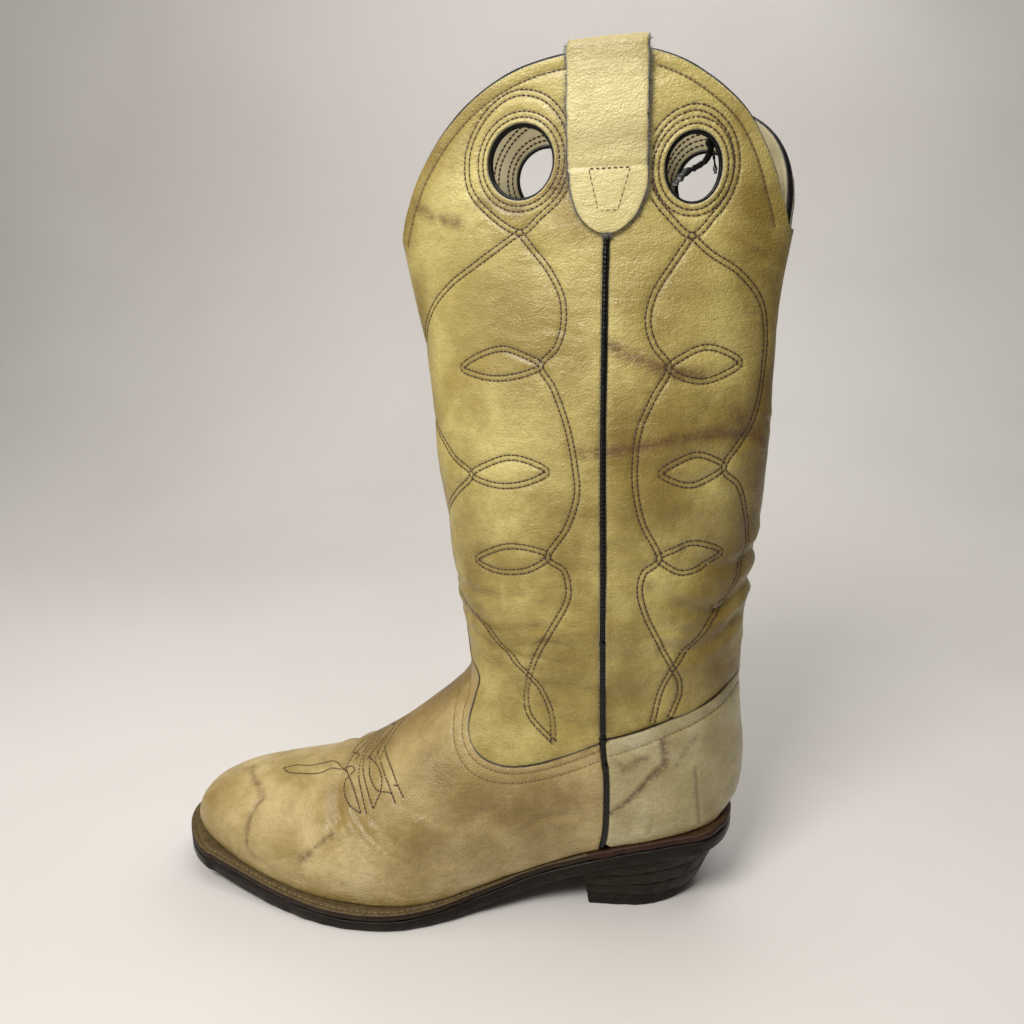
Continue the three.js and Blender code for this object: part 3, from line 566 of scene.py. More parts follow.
# Distances of the extra mesh points beside a crease, a single row and a double row of stitches.
CREASE_FURROW = (-1.6, -0.8, 0.0, 0.8, 1.6)
SINGLE_FURROW = (-1.7, -0.8, 0.0, 0.8, 1.7)
DOUBLE_FURROW = (-3.1, -2.05, -1.15, -0.4, 0.4, 1.15, 2.05, 3.1)
FURROW_CELL = 0.62
FURROW_TO_EDGE = 1.3
FURROW_TO_GRID = 0.95
EDGE_INSETS = (0.35, 0.85)
EDGE_ROUND = 0.9
# Largest distance to a stitch row that the leather looks need, in mm.
FAR = 9.0


def moved_by(uv, vectors, along, around):
    """Skin places after a small 3D move, from the skin's tangents there."""
    aa, bb, ab = (along ** 2).sum(1), (around ** 2).sum(1), (along * around).sum(1)
    pa, pb = (vectors * along).sum(1), (vectors * around).sum(1)
    det = aa * bb - ab ** 2 + 1e-6
    return uv + np.stack([(pa * bb - pb * ab) / det, (pb * aa - pa * ab) / det], -1)


def inset_loop(loop, distance):
    """Loop moved inwards over the skin by a distance in mm; the loop runs anticlockwise."""
    limit = math.pi - 0.03
    along, around = tangents(loop[:, 0], np.clip(loop[:, 1], -limit, limit))
    direction = unit(skin_at(np.roll(loop, -1, axis=0)) - skin_at(np.roll(loop, 1, axis=0)))
    inward = np.cross(unit(np.cross(along, around)), direction)
    return moved_by(loop, inward * distance, along, around)


def grid_points(spacing, t_range, angles):
    """Even spread of points over the skin, row by row, with every other row shifted."""
    points = []
    t = t_range[0]
    probe = np.linspace(angles[0], angles[1], 61)
    while t < t_range[1]:
        here = np.full_like(probe, t)
        length = arc_length(skin(here, probe))
        count = max(int(length[-1] / spacing), 3)
        first = 0.25 * (1 + len(points) % 2)
        places = np.interp((np.arange(count) + first) / count * length[-1], length, probe)
        points.append(np.stack([np.full_like(places, t), places], -1))
        along, _ = tangents(here, probe)
        speed = np.percentile(np.linalg.norm(along, axis=1), 70)
        t += spacing * 0.9 / max(speed, 2.0)
    return np.vstack(points)


def triangulate(loops, inner):
    """Triangles inside the first loop and outside the others, over loop points then inner points."""
    points = np.vstack(list(loops) + [inner])
    edges = []
    start = 0
    for loop in loops:
        n = len(loop)
        edges += [(start + k, start + (k + 1) % n) for k in range(n)]
        start += n
    result = delaunay_2d_cdt([Vector(p) for p in points * UV_SCALE], edges, [], 0, 1e-7)
    verts, _, faces, sources = result[:4]
    out = np.array([v[:] for v in verts]) / UV_SCALE
    tris = np.array([f for f in faces if len(f) == 3], int)
    index = np.full(len(points), -1)
    for new, olds in enumerate(sources):
        index[list(olds)] = new
    return out, tris[within(out[tris].mean(1), loops)], index


def sheet_points(loops, spacing, stations, angles, furrows):
    """Points inside a sheet: rows along its edges, furrow points, and an even grid between them."""
    rim = np.vstack([skin_at(loop) for loop in loops])
    edge_rows = np.vstack([
        inset_loop(loop, inset if k == 0 else -inset) for k, loop in enumerate(loops) for inset in EDGE_INSETS
    ])
    edge_rows = edge_rows[inside_polygon(edge_rows, loops[0]) & (edge_rows[:, 0] > 2 * TOE_TIP_STATION)]
    grid = grid_points(spacing, stations, angles)
    grid = grid[within(grid, loops)]
    grid = grid[distance_to(skin_at(grid), rim) > EDGE_INSETS[1] + spacing * 0.55]
    if not len(furrows):
        return np.vstack([edge_rows, grid])
    fine = furrows[within(furrows, loops)]
    fine = fine[distance_to(skin_at(fine), rim) > FURROW_TO_EDGE]
    grid = grid[distance_to(skin_at(grid), skin_at(fine)) > FURROW_TO_GRID]
    return np.vstack([edge_rows, fine, grid])


def edge_walls(loops, index, count):
    """Faces along the cut edges, between the sheet's outer points and its inner ones."""
    walls = []
    start = 0
    for loop in loops:
        ids = index[start:start + len(loop)].tolist()
        start += len(loop)
        walls += [(a, b, b + count, a + count) for a, b in zip(ids, ids[1:] + ids[:1])]
    return walls


def leather_sheet(name, loops, inner, offsets, edge_round, height, facing):
    """Closed sheet of leather over the skin with rounded cut edges.

    loops holds the outline and then any holes, each anticlockwise in (station, angle). offsets are
    the outer and inner distances from the skin; facing is -1 for a lining, which is seen from inside.
    """
    uv, tris, index = triangulate(loops, inner)
    base = skin_at(uv)
    n = normals_at(uv)
    edge = distance_to(base, np.vstack([skin_at(loop) for loop in loops]))
    from_round = 1 - np.clip(edge / edge_round, 0, 1)
    rounded = 0.75 * edge_round * (1 - np.sqrt(1 - from_round ** 2))
    lift = height(base) if height else 0.0
    outside, inside = offsets
    shown, hidden = (outside + lift - rounded, inside) if facing > 0 else (inside + rounded, outside)
    count = len(uv)
    faces = [tuple(f) for f in oriented(tris, uv)[:, ::facing]]
    under = [tuple(i + count for i in f[::-1]) for f in faces]
    vertices = placed(np.vstack([base + n * shown[:, None], base + n * hidden]))
    obj = new_object(name, vertices, faces + under + edge_walls(loops, index, count))
    set_attribute(obj, "edge", np.concatenate([edge, np.zeros(count)]))
    return obj, base


def oriented(tris, uv):
    """Triangles turned so that they face away from the boot."""
    a, b, c = uv[tris[:, 0]], uv[tris[:, 1]], uv[tris[:, 2]]
    area = (b[:, 0] - a[:, 0]) * (c[:, 1] - a[:, 1]) - (b[:, 1] - a[:, 1]) * (c[:, 0] - a[:, 0])
    out = tris.copy()
    out[area < 0] = out[area < 0][:, ::-1]
    return out


def ring_faces(rings, size, closed=False):
    """Quads between rings of points; closed joins the last ring to the first."""
    faces = []
    for i in range(rings if closed else rings - 1):
        j = (i + 1) % rings
        for k in range(size):
            m = (k + 1) % size
            faces.append((i * size + k, i * size + m, j * size + m, j * size + k))
    return faces


def end_caps(rings, size):
    last = (rings - 1) * size
    return [tuple(range(size))[::-1], tuple(range(last, last + size))]


def ring_tube(centre, out, up, radius_out, radius_up, sides=12, closed=False):
    """Tube with an elliptical section along a line of points in mm."""
    a = np.linspace(0, 2 * math.pi, sides, endpoint=False)
    rings = (centre[:, None, :] + out[:, None, :] * (np.cos(a) * radius_out)[None, :, None]
             + up[:, None, :] * (np.sin(a) * radius_up)[None, :, None])
    faces = ring_faces(len(centre), sides, closed)
    if not closed:
        faces += end_caps(len(centre), sides)
    return rings.reshape(-1, 3), faces


CAPSULE_SIDES = 6
# Place along a stitch and its thickness there, as shares of the length and the radius.
CAPSULE_PROFILE = [(-0.47, 0.5), (-0.36, 0.92), (0.0, 1.0), (0.36, 0.92), (0.47, 0.5)]
STITCH_TILT = 0.12


def along_line(values, at, places):
    """Values given at some lengths of a line, read at other places along it."""
    return np.stack([np.interp(places, at, column) for column in values.T], -1)


def stitch_mesh(lines, length, radius, pitch):
    """Thread stitches, as short capsules along lines of 3D points (mm) with their outward normals."""
    centres, axes, outs = [], [], []
    for points, outward in lines:
        at = arc_length(points)
        count = int(at[-1] / pitch)
        if count < 1:
            continue
        places = (np.arange(count) + 0.5) * at[-1] / count + RNG.normal(0, 0.05, count)
        centres.append(along_line(points, at, places))
        axes.append(along_line(points, at, places + 0.3) - along_line(points, at, places - 0.3))
        outs.append(along_line(outward, at, places))
    p = np.vstack(centres)
    axis = unit(np.vstack(axes))
    n = np.vstack(outs)
    n = unit(n - axis * (n * axis).sum(1, keepdims=True))
    tilt = RNG.normal(STITCH_TILT, 0.05, (len(p), 1))
    axis = axis * np.cos(tilt) + np.cross(axis, n) * np.sin(tilt)
    w = np.cross(axis, n)
    size = length * RNG.uniform(0.93, 1.05, (len(p), 1))
    thick = radius * RNG.uniform(0.88, 1.1, (len(p), 1))
    turns = 2 * math.pi * np.arange(CAPSULE_SIDES) / CAPSULE_SIDES
    rings = []
    for f, g in CAPSULE_PROFILE:
        middle = p + axis * f * size - n * thick * (0.3 + 2.6 * f * f)
        rings += [middle + (n * math.sin(b) + w * math.cos(b)) * thick * g for b in turns]
    vertices = np.stack(rings, 1).reshape(-1, 3)
    block = len(rings)
    one = ring_faces(len(CAPSULE_PROFILE), CAPSULE_SIDES) + end_caps(len(CAPSULE_PROFILE), CAPSULE_SIDES)
    one = [face[::-1] for face in one]
    faces = [tuple(q + i * block for q in face) for i in range(len(p)) for face in one]
    return vertices, faces


def line_frame(uv):
    """Points, outward normals and the direction across a line on the skin."""
    p = skin_at(uv)
    n = normals_at(uv)
    return p, n, np.cross(unit(np.gradient(p, axis=0)), n)


def rows_beside(uv, gaps):
    """Lines beside a line of skin places, at signed distances in mm, as (points, normals)."""
    p, n, across = line_frame(uv)
    return [(p - across * gap, n) for gap in gaps]


def furrow_points(lines, gaps, centre=0.0):
    """Points along and beside stitch lines, so that the mesh can show their grooves."""
    kept = {}
    for uv in lines:
        near = uv + [0, 2 * math.pi] if uv[:, 1].mean() < centre - math.pi + 0.5 else uv
        for gap in gaps:
            moved = moved_over_skin(near, gap)
            for cell, place in zip(np.round(skin_at(moved) / FURROW_CELL).astype(int), moved):
                kept.setdefault(tuple(cell), place)
    return np.array(list(kept.values()))


# ---------------------------------------------------------------- outlines of the leather pieces
PIPING_HALF = 1.25
TOE_POLE = 0.02
BACK_CENTRE = math.pi


def rim_uv(drop, spacing=1.0):
    """Rim from the front ridge over the top to the back ridge, as (station, unsigned angle)."""
    line = curve_through(RIM, spacing)
    direction = np.gradient(line, axis=0)
    direction /= np.linalg.norm(direction, axis=1, keepdims=True)
    uv = on_skin(line + np.stack([direction[:, 1], -direction[:, 0]], -1) * drop)
    uv = uv[(uv[:, 1] > 0.03) & (uv[:, 1] < math.pi - 0.03)]
    first = [uv[0][0], 0.0]
    last = [uv[-1][0], math.pi]
    return np.vstack([first, uv, last])


def moved_over_skin(line, distance):
    """Line moved sideways over the skin; positive is to its right when seen from outside."""
    along, around = tangents(line[:, 0], line[:, 1])
    direction = unit(np.gradient(skin_at(line), axis=0))
    side = np.cross(direction, unit(np.cross(along, around)))
    return moved_by(line, side * distance, along, around)


SEAM = on_skin(curve_through(SIDE_SEAM, 1.0))


def seam_edge(front, gap=PIPING_HALF):
    """Edge of the leather beside the piping, in front of it or behind it."""
    a = moved_over_skin(SEAM, gap)
    b = moved_over_skin(SEAM, -gap)
    mid = len(a) // 3
    a_is_front = skin(*a[mid])[0] < skin(*b[mid])[0]
    return a if a_is_front == front else b


def trimmed(line, seam, front):
    """The part of a line in front of a seam edge, or behind it."""
    p = skin_at(line)
    s = skin_at(seam)
    seam_x = np.interp(p[:, 2], s[::-1, 2], s[::-1, 0])
    return line[p[:, 0] < seam_x - 0.3] if front else line[p[:, 0] > seam_x + 0.3]


def seam_stretch(seam, z_low, z_high):
    z = skin_at(seam)[:, 2]
    return seam[(z > z_low) & (z < z_high)]


def height_of(uv_point):
    return float(skin(uv_point[0], uv_point[1])[2])


def mirrored_outline(chain, centre=0.0):
    """Outline from its inner-side half, mirrored about the front or the back ridge."""
    other = np.stack([chain[:, 0], 2 * centre - chain[:, 1]], -1)[::-1]
    loop = np.vstack([chain, other])
    gap = np.linalg.norm((loop - np.roll(loop, 1, axis=0)) * UV_SCALE, axis=1)
    return anticlockwise(loop[gap > 1e-3])


def lower_edge(points):
    return on_skin(curve_through(points, 1.0))


def front_panel_outline(drop, gap=PIPING_HALF):
    seam = seam_edge(True, gap)
    low = trimmed(lower_edge(VAMP_TOP), seam, True)
    low = np.vstack([[low[0][0], 0.0], low[low[:, 1] > 0.03]])
    top = trimmed(rim_uv(drop), seam, True)
    middle = seam_stretch(seam, height_of(low[-1]) + 0.5, height_of(top[-1]) - 0.5)[::-1]
    return mirrored_outline(np.vstack([low, middle, top[::-1]]))


def back_panel_outline(drop, gap=PIPING_HALF):
    seam = seam_edge(False, gap)
    low = trimmed(lower_edge(COUNTER_TOP), seam, False)
    low = np.vstack([low[low[:, 1] < math.pi - 0.03], [low[-1][0], math.pi]])
    top = trimmed(rim_uv(drop), seam, False)
    middle = seam_stretch(seam, height_of(low[0]) + 0.5, height_of(top[0]) - 0.5)[::-1]
    return mirrored_outline(np.vstack([low[::-1], middle, top]), BACK_CENTRE)


def vamp_outline():
    seam = seam_edge(True)
    top = trimmed(lower_edge(VAMP_TOP), seam, True)
    top = np.vstack([[top[0][0], 0.0], top[top[:, 1] > 0.03]])
    middle = seam_stretch(seam, 37.0, height_of(top[-1]) - 0.5)
    bottom_t = np.arange(middle[-1][0] - 0.04, 0.06, -0.045)
    bottom = np.stack([bottom_t, np.full_like(bottom_t, math.pi)], -1)
    pole = np.array([[TOE_POLE, a] for a in np.linspace(math.pi, 0, 9)])
    return mirrored_outline(np.vstack([top, middle, bottom, pole]))


def counter_outline():
    seam = seam_edge(False)
    top = trimmed(lower_edge(COUNTER_TOP), seam, False)
    top = np.vstack([top[top[:, 1] < math.pi - 0.03], [top[-1][0], math.pi]])
    middle = seam_stretch(seam, 39.0, height_of(top[0]) - 0.5)
    bottom_t = np.arange(middle[-1][0] + 0.05, CLOSED_STATION - 0.05, 0.05)
    bottom = np.stack([bottom_t, np.full_like(bottom_t, math.pi - 0.02)], -1)
    apex = [[CLOSED_STATION, math.pi]]
    return mirrored_outline(np.vstack([top[::-1], middle, bottom, apex]), BACK_CENTRE)


def hole_edge(end, margin, count=90):
    """Edge of a pull hole grown outwards by a margin, in the side view."""
    x, z, half_width, half_height = PULL_HOLES[end]
    a = np.linspace(0, 2 * math.pi, count, endpoint=False)
    return np.stack([x + (half_width + margin) * np.cos(a), z + (half_height + margin) * np.sin(a)], -1)


def hole_outlines(end, margin, centre):
    """Pull-hole edges on both sides of the boot, as (station, angle) loops."""
    ring = on_skin(hole_edge(end, margin))
    other = np.stack([ring[:, 0], 2 * centre - ring[:, 1]], -1)
    return [anticlockwise(loop) for loop in (ring, other)]


# ---------------------------------------------------------------- relief of the leather
def wave_noise(points, wavelength, seed, stretch=(1, 1, 1)):
    """Smooth noise of about -1 to 1 made of plane waves, the same on every run."""
    rng = np.random.default_rng(seed)
    total = np.zeros(len(points))
    q = points * np.asarray(stretch, float)
    for _ in range(9):
        direction = rng.normal(size=3)
        direction /= np.linalg.norm(direction)
        k = 2 * math.pi / (wavelength * rng.uniform(0.7, 1.5))
        total += np.sin(q @ direction * k + rng.uniform(0, 2 * math.pi))
    return total / 3.6


def both_sides(lines, spacing=0.8):
    return [side_line(line, side, spacing) for line in lines for side in SIGNS]


def sewn_rows(lines, gaps):
    rows = []
    for uv in lines:
        side = 1 if uv[len(uv) // 2, 1] > 0 else -1
        rows += [(side, p, n) for p, n in rows_beside(uv, gaps)]
    return rows


def double_rows(lines):
    return sewn_rows(both_sides(lines), (-ROW_GAP / 2, ROW_GAP / 2))


def hole_circle(end):
    ring = hole_edge(end, HOLE_ROW_MARGIN, 24)
    return np.vstack([ring, ring[:1]])


def under_strap(points):
    return (np.abs(points[:, 0] - STRAP_X) < STRAP_HALF_WIDTH + 0.6) & (points[:, 2] > STRAP_BOTTOM_Z + 8)


def clipped(rows, hidden):
    """Rows with the stretches taken out for which hidden(points) is true."""
    out = []
    for side, p, n in rows:
        show = ~hidden(p)
        start = None
        for k in range(len(p) + 1):
            on = k < len(p) and show[k]
            if on and start is None:
                start = k
            if not on and start is not None:
                if k - start > 3:
                    out.append((side, p[start:k], n[start:k]))
                start = None
    return out


def rim_lines(spacing):
    return [rim_uv(RIM_ROW_DROP, spacing)[2:-2] * [1, side] for side in SIGNS]


FRONT_ROWS = double_rows(FRONT_LINES) + double_rows([hole_circle("front")])
BACK_ROWS = clipped(double_rows(BACK_LINES) + double_rows([hole_circle("back")]), under_strap)
RIM_ROWS = clipped(sewn_rows(rim_lines(0.8), (0.0,)), under_strap)
VAMP_STITCHES = sewn_rows(both_sides(VAMP_ROWS), (0.0,))
COUNTER_STITCHES = sewn_rows(both_sides(COUNTER_ROWS), (0.0,))
TOE_UV = [side_line(line, -1, 0.8) for line in TOE_LEAF + TOE_WINGS]
TOE_UV += [np.stack([uv[:, 0], 2 * TOE_AXIS - uv[:, 1]], -1) for uv in TOE_UV[len(TOE_LEAF):]]
TOE_STITCHES = [(-1, p, n) for uv in TOE_UV for p, n in rows_beside(uv, (0.0,))]


def grooves(base, rows, depth, width):
    d = row_distance(base, rows)
    return -depth * np.exp(-(d / width) ** 2), d


def marks_3d(marks, sides):
    """Marks given in the side view, as 3D lines on the sides asked for."""
    return [(skin(*side_line(points, side, 1.0).T), width, size) for points, width,
            size in marks for side in sides]


def distance_near(base, line, reach):
    """Distance to a line for the points within reach of it, and reach for all others."""
    out = np.full(len(base), float(reach))
    near = np.flatnonzero(((base > line.min(0) - reach) & (base < line.max(0) + reach)).all(1))
    for start in range(0, len(near), 4000):
        part = near[start:start + 4000]
        gaps = np.linalg.norm(base[part][:, None, :] - line[None, :, :], axis=2)
        out[part] = np.minimum(gaps.min(1), reach)
    return out


CREASE_LINES = marks_3d(CREASES, SIGNS)
STAIN_LINES = marks_3d(STAINS, (-1,))
PAINTED_SHADE_LINES = marks_3d(PAINTED_SHADES, SIGNS)


def creases(base):
    total = np.zeros(len(base))
    for line, width, depth in CREASE_LINES:
        d = distance_near(base, line, 6 * width)
        total += -depth * np.exp(-(d / width) ** 2) + 0.4 * depth * np.exp(-((d - 2.2 * width) / width) ** 2)
    return total


def mark_values(base, lines):
    total = np.zeros(len(base))
    for line, width, strength in lines:
        total = np.maximum(total, strength * np.exp(-(distance_near(base, line, 2.6 * width) / width) ** 2))
    return total


def row_relief(base, rows, depth, width, puff, reach):
    """Grooves pulled in by the stitching, with the leather puffed up between the rows."""
    groove, d = grooves(base, rows, depth, width)
    return groove + puff * (1 - np.exp(-(np.minimum(d, 40) / reach) ** 2))


def shaft_height(rows):
    def height(base):
        ripple = 0.3 * wave_noise(base, 46, 3, (0.5, 0.5,
                                  1.4)) + 0.12 * wave_noise(base, 17, 5, (0.6, 0.6, 1.8))
        ankle = smoothstep(230, 150, base[:, 2]) * 0.6 * wave_noise(base, 30, 11, (0.35, 0.5, 1.6))
        return row_relief(base, rows, 0.62, 0.95, 0.55, 6.0) + ripple + ankle + creases(base)
    return height


def vamp_height(base):
    soft = 0.22 * wave_noise(base, 38, 21) + 0.08 * wave_noise(base, 13, 22)
    return 0.75 + row_relief(base, VAMP_STITCHES + TOE_STITCHES, 0.42, 0.8, 0.15, 4.0) + soft + creases(base)


def counter_height(base):
    soft = 0.25 * wave_noise(base, 34, 31) + 0.09 * wave_noise(base, 12, 32)
    return 0.7 + row_relief(base, COUNTER_STITCHES, 0.6, 1.0, 0.2, 4.0) + soft + creases(base)


# ---------------------------------------------------------------- node materials
class Look:
    """A material with short calls for the nodes it is made of."""

    def __init__(self, name):
        self.material = bpy.data.materials.new(name)
        self.material.use_nodes = True
        self.tree = self.material.node_tree
        self.bsdf = self.tree.nodes["Principled BSDF"]
        self.place = self.tree.nodes.new("ShaderNodeTexCoord").outputs["Object"]

    def link(self, a, b):
        self.tree.links.new(a, b)

    def feed(self, node, socket, value):
        if value is None:
            return
        if isinstance(value, bpy.types.NodeSocket):
            self.link(value, node.inputs[socket])
        else:
            node.inputs[socket].default_value = value

    def attribute(self, name):
        node = self.tree.nodes.new("ShaderNodeAttribute")
        node.attribute_name = name
        return node.outputs["Fac"]

    def noise(self, scale, detail=4.0, rough=0.55, stretch=None, distortion=0.0):
        node = self.tree.nodes.new("ShaderNodeTexNoise")
        self.link(self.stretched(stretch), node.inputs["Vector"])
        node.inputs["Scale"].default_value = scale
        node.inputs["Detail"].default_value = detail
        node.inputs["Roughness"].default_value = rough
        node.inputs["Distortion"].default_value = distortion
        return node.outputs["Fac"]

    def cells(self, scale, feature="F1", stretch=None):
        node = self.tree.nodes.new("ShaderNodeTexVoronoi")
        node.feature = feature
        self.link(self.stretched(stretch), node.inputs["Vector"])
        node.inputs["Scale"].default_value = scale
        return node.outputs["Distance"]

    def stretched(self, stretch):
        if stretch is None:
            return self.place
        node = self.tree.nodes.new("ShaderNodeMapping")
        node.inputs["Scale"].default_value = stretch
        self.link(self.place, node.inputs["Vector"])
        return node.outputs["Vector"]

    def ramp(self, value, low, high, out_low=0.0, out_high=1.0):
        node = self.tree.nodes.new("ShaderNodeMapRange")
        node.interpolation_type = "SMOOTHSTEP"
        self.feed(node, "Value", value)
        for socket, number in zip(("From Min", "From Max", "To Min", "To Max"),
                                  (low, high, out_low, out_high)):
            node.inputs[socket].default_value = number
        return node.outputs["Result"]

    def math(self, kind, a, b=None):
        node = self.tree.nodes.new("ShaderNodeMath")
        node.operation = kind
        self.feed(node, 0, a)
        self.feed(node, 1, b)
        return node.outputs[0]

    def mix(self, factor, a, b, kind="MIX"):
        node = self.tree.nodes.new("ShaderNodeMix")
        node.data_type = "RGBA"
        node.blend_type = kind
        self.feed(node, 0, factor)
        for socket, value in ((6, a), (7, b)):
            self.feed(node, socket, (*value, 1.0) if isinstance(value, tuple) else value)
        return node.outputs[2]

    def bump(self, height, strength, distance, after=None):
        node = self.tree.nodes.new("ShaderNodeBump")
        node.inputs["Strength"].default_value = strength
        node.inputs["Distance"].default_value = distance
        self.link(height, node.inputs["Height"])
        if after is not None:
            self.link(after, node.inputs["Normal"])
        return node.outputs["Normal"]

    def done(self, color, roughness, normal=None, **sockets):
        self.feed(self.bsdf, "Base Color", (*color, 1.0) if isinstance(color, tuple) else color)
        self.feed(self.bsdf, "Roughness", roughness)
        if normal is not None:
            self.link(normal, self.bsdf.inputs["Normal"])
        for name, value in sockets.items():
            self.bsdf.inputs[name.replace("_", " ")].default_value = value
        return self.material


def height_fade(look, low, high):
    """0 below a height and 1 above it, in metres."""
    node = look.tree.nodes.new("ShaderNodeSeparateXYZ")
    look.link(look.place, node.inputs[0])
    return look.ramp(node.outputs["Z"], low, high)


def smooth_leather(name, light, dark, edge_color, stain_color, pale=None, gloss=0.42, painted_light_z_range=(0.1, 0.4),
                   cracks=0.0, groove_shade_color=None, groove_shade_width=1.0, shade=0.5):
    """Worn smooth leather: cloudy colour, pores, stains and a raw cut edge, with painted shade in the stitch
    grooves and from the shade attribute, and painted light towards the top.
    """
    look = Look(name)
    painted_top_light = height_fade(look, *painted_light_z_range)
    cloud = look.ramp(look.noise(24, 5, 0.6), 0.34, 0.68)
    color = look.mix(cloud, dark, light)
    # Painted light: higher up the colour turns towards the light tone, as if lit from above.
    color = look.mix(look.ramp(painted_top_light, 0, 1, 0.0, 0.6), color, light)
    patch = look.ramp(look.noise(55, 6, 0.65, distortion=0.4), 0.5, 0.78, 0.0, shade)
    color = look.mix(patch, color, dark)
    if pale is not None:
        chafed = look.ramp(look.noise(34, 5, 0.6, distortion=0.2), 0.52, 0.72)
        color = look.mix(look.math("MULTIPLY", chafed, 0.5), color, pale)
    pores = look.ramp(look.cells(1350), 0.03, 0.32, 0.0, 1.0)
    color = look.mix(1.0, color, look.mix(pores, (0.84, 0.80, 0.70), (1.0, 1.0, 1.0)), "MULTIPLY")
    dirt = look.ramp(look.noise(420, 5, 0.65), 0.35, 0.7, 0.0, 0.22)
    color = look.mix(dirt, color, tuple(c * 0.72 for c in dark))
    # Painted shade from the shade attribute, at the instep also darker stained leather; on the strap the same
    # attribute darkens its worn top and a band lower down.
    shade_and_wear_mask = look.math("MULTIPLY", look.attribute("shade"),
                       look.ramp(look.noise(38, 6, 0.65), 0.25, 0.6, 0.6, 1.0))
    color = look.mix(shade_and_wear_mask, color, look.mix(1.0, color, (0.45, 0.37, 0.20), "MULTIPLY"))
    mask = look.math("MULTIPLY", look.attribute("stain"),
                     look.ramp(look.noise(260, 6, 0.75), 0.3, 0.58, 0.2, 1.0))
    color = look.mix(look.math("MULTIPLY", mask, 0.95), color, stain_color)
    specks = look.ramp(look.noise(620, 2, 0.5), 0.72, 0.8, 0.0, 0.55)
    color = look.mix(specks, color, stain_color)
    # Painted shade: the colour darkens along the stitch grooves.
    groove = look.ramp(look.attribute("groove"), 0.15, groove_shade_width, 0.7, 0.0)
    color = look.mix(groove, color, groove_shade_color or stain_color)
    edge = look.ramp(look.attribute("edge"), 0.05, 0.8, 1.0, 0.0)
    color = look.mix(edge, color, edge_color)
    roughness = look.ramp(look.noise(130, 5, 0.6), 0.3, 0.75, gloss - 0.06, gloss + 0.18)
    normal = look.bump(look.cells(1100), 0.6, 0.0003)
    normal = look.bump(look.noise(2400, 3, 0.6), 0.3, 0.00014, normal)
    folds = look.cells(190, "DISTANCE_TO_EDGE", (1.0, 1.0, 2.2))
    normal = look.bump(look.ramp(folds, 0.0, 0.12), 0.22, 0.0004, normal)
    wrinkles = look.noise(62, 6, 0.6, (1.0, 1.0, 2.2), 0.5)
    normal = look.bump(wrinkles, 0.5, 0.0022, normal)
    if cracks:
        lines = look.ramp(look.cells(260, "DISTANCE_TO_EDGE", (1, 1, 1.8)), 0.0, 0.07)
        normal = look.bump(lines, cracks, 0.0003, normal)
    return look.done(color, roughness, normal, Specular_IOR_Level=0.5, Coat_Weight=0.14, Coat_Roughness=0.3)


def shade_darkened_lining():
    look = Look("shade_darkened_lining")
    cloud = look.ramp(look.noise(35, 5, 0.6), 0.3, 0.7)
    # Painted shade: both lining tones are darkened to about six tenths of the lining's own colour, for the
    # shade inside the boot.
    color = look.mix(cloud, (0.27, 0.23, 0.12), (0.44, 0.39, 0.24))
    color = look.mix(look.ramp(look.noise(700, 4, 0.6), 0.4, 0.7, 0.0, 0.25), color, (0.34, 0.29, 0.16))
    normal = look.bump(look.noise(1400, 5, 0.7), 0.4, 0.0002)
    return look.done(color, 0.78, normal)


def black_leather(name, worn=0.25, gloss=0.3):
    look = Look(name)
    color = look.mix(look.ramp(look.noise(420, 6, 0.7), 0.56, 0.74, 0.0, worn), (0.004, 0.0035, 0.003),
                     (0.09, 0.07, 0.045))
    ridges = look.noise(900, 3, 0.5, (1, 1, 1.4))
    normal = look.bump(ridges, 0.5, 0.0003)
    return look.done(color, look.ramp(look.noise(260, 4), 0.3, 0.7, gloss, gloss + 0.2), normal,
                     Specular_IOR_Level=0.28)


def sole_leather(name, dark, light, rough=0.5, lines=0.0, upward_color=None):
    """Waxed sole leather with fibre lines; a second colour lies on its upward faces."""
    look = Look(name)
    fibre = look.noise(240, 6, 0.7, (0.5, 0.5, 5.0))
    color = look.mix(look.ramp(fibre, 0.35, 0.72), dark, light)
    if upward_color is not None:
        facing = look.tree.nodes.new("ShaderNodeNewGeometry")
        parts = look.tree.nodes.new("ShaderNodeSeparateXYZ")
        look.link(facing.outputs["Normal"], parts.inputs[0])
        level = look.ramp(parts.outputs["Z"], 0.55, 0.9)
        upward_share = look.math("MULTIPLY", level, look.ramp(look.noise(340, 6, 0.7), 0.25, 0.65, 0.35, 1.0))
        color = look.mix(upward_share, color, upward_color)
    scuff = look.ramp(look.noise(150, 7, 0.75, (1, 1, 2.0), 0.8), 0.58, 0.74, 0.0, 0.8)
    pale = tuple(min(1.0, c * 2.6 + 0.012) for c in light)
    color = look.mix(scuff, color, pale)
    normal = look.bump(fibre, 0.5 + lines, 0.0005)
    normal = look.bump(look.noise(520, 6, 0.7), 0.45, 0.0005, normal)
    return look.done(color, look.ramp(look.noise(90, 4), 0.3, 0.7, rough - 0.1, rough + 0.2), normal,
                     Specular_IOR_Level=0.2)


def rubber_look():
    look = Look("rubber")
    scuff = look.ramp(look.noise(260, 7, 0.75), 0.5, 0.7, 0.0, 0.6)
    color = look.mix(scuff, (0.008, 0.007, 0.004), (0.045, 0.038, 0.022))
    return look.done(color, 0.7, look.bump(look.noise(900, 5, 0.7), 0.5, 0.0004), Specular_IOR_Level=0.25)


def thread_look(name, color, shade):
    look = Look(name)
    twist = look.ramp(look.noise(2600, 3, 0.5, (1, 1, 2.5)), 0.35, 0.65)
    fade = look.ramp(look.noise(50, 4), 0.35, 0.7)
    mixed = look.mix(fade, look.mix(twist, shade, color), tuple(c * 1.25 for c in color))
    return look.done(mixed, 0.62, look.bump(twist, 0.6, 0.0002))


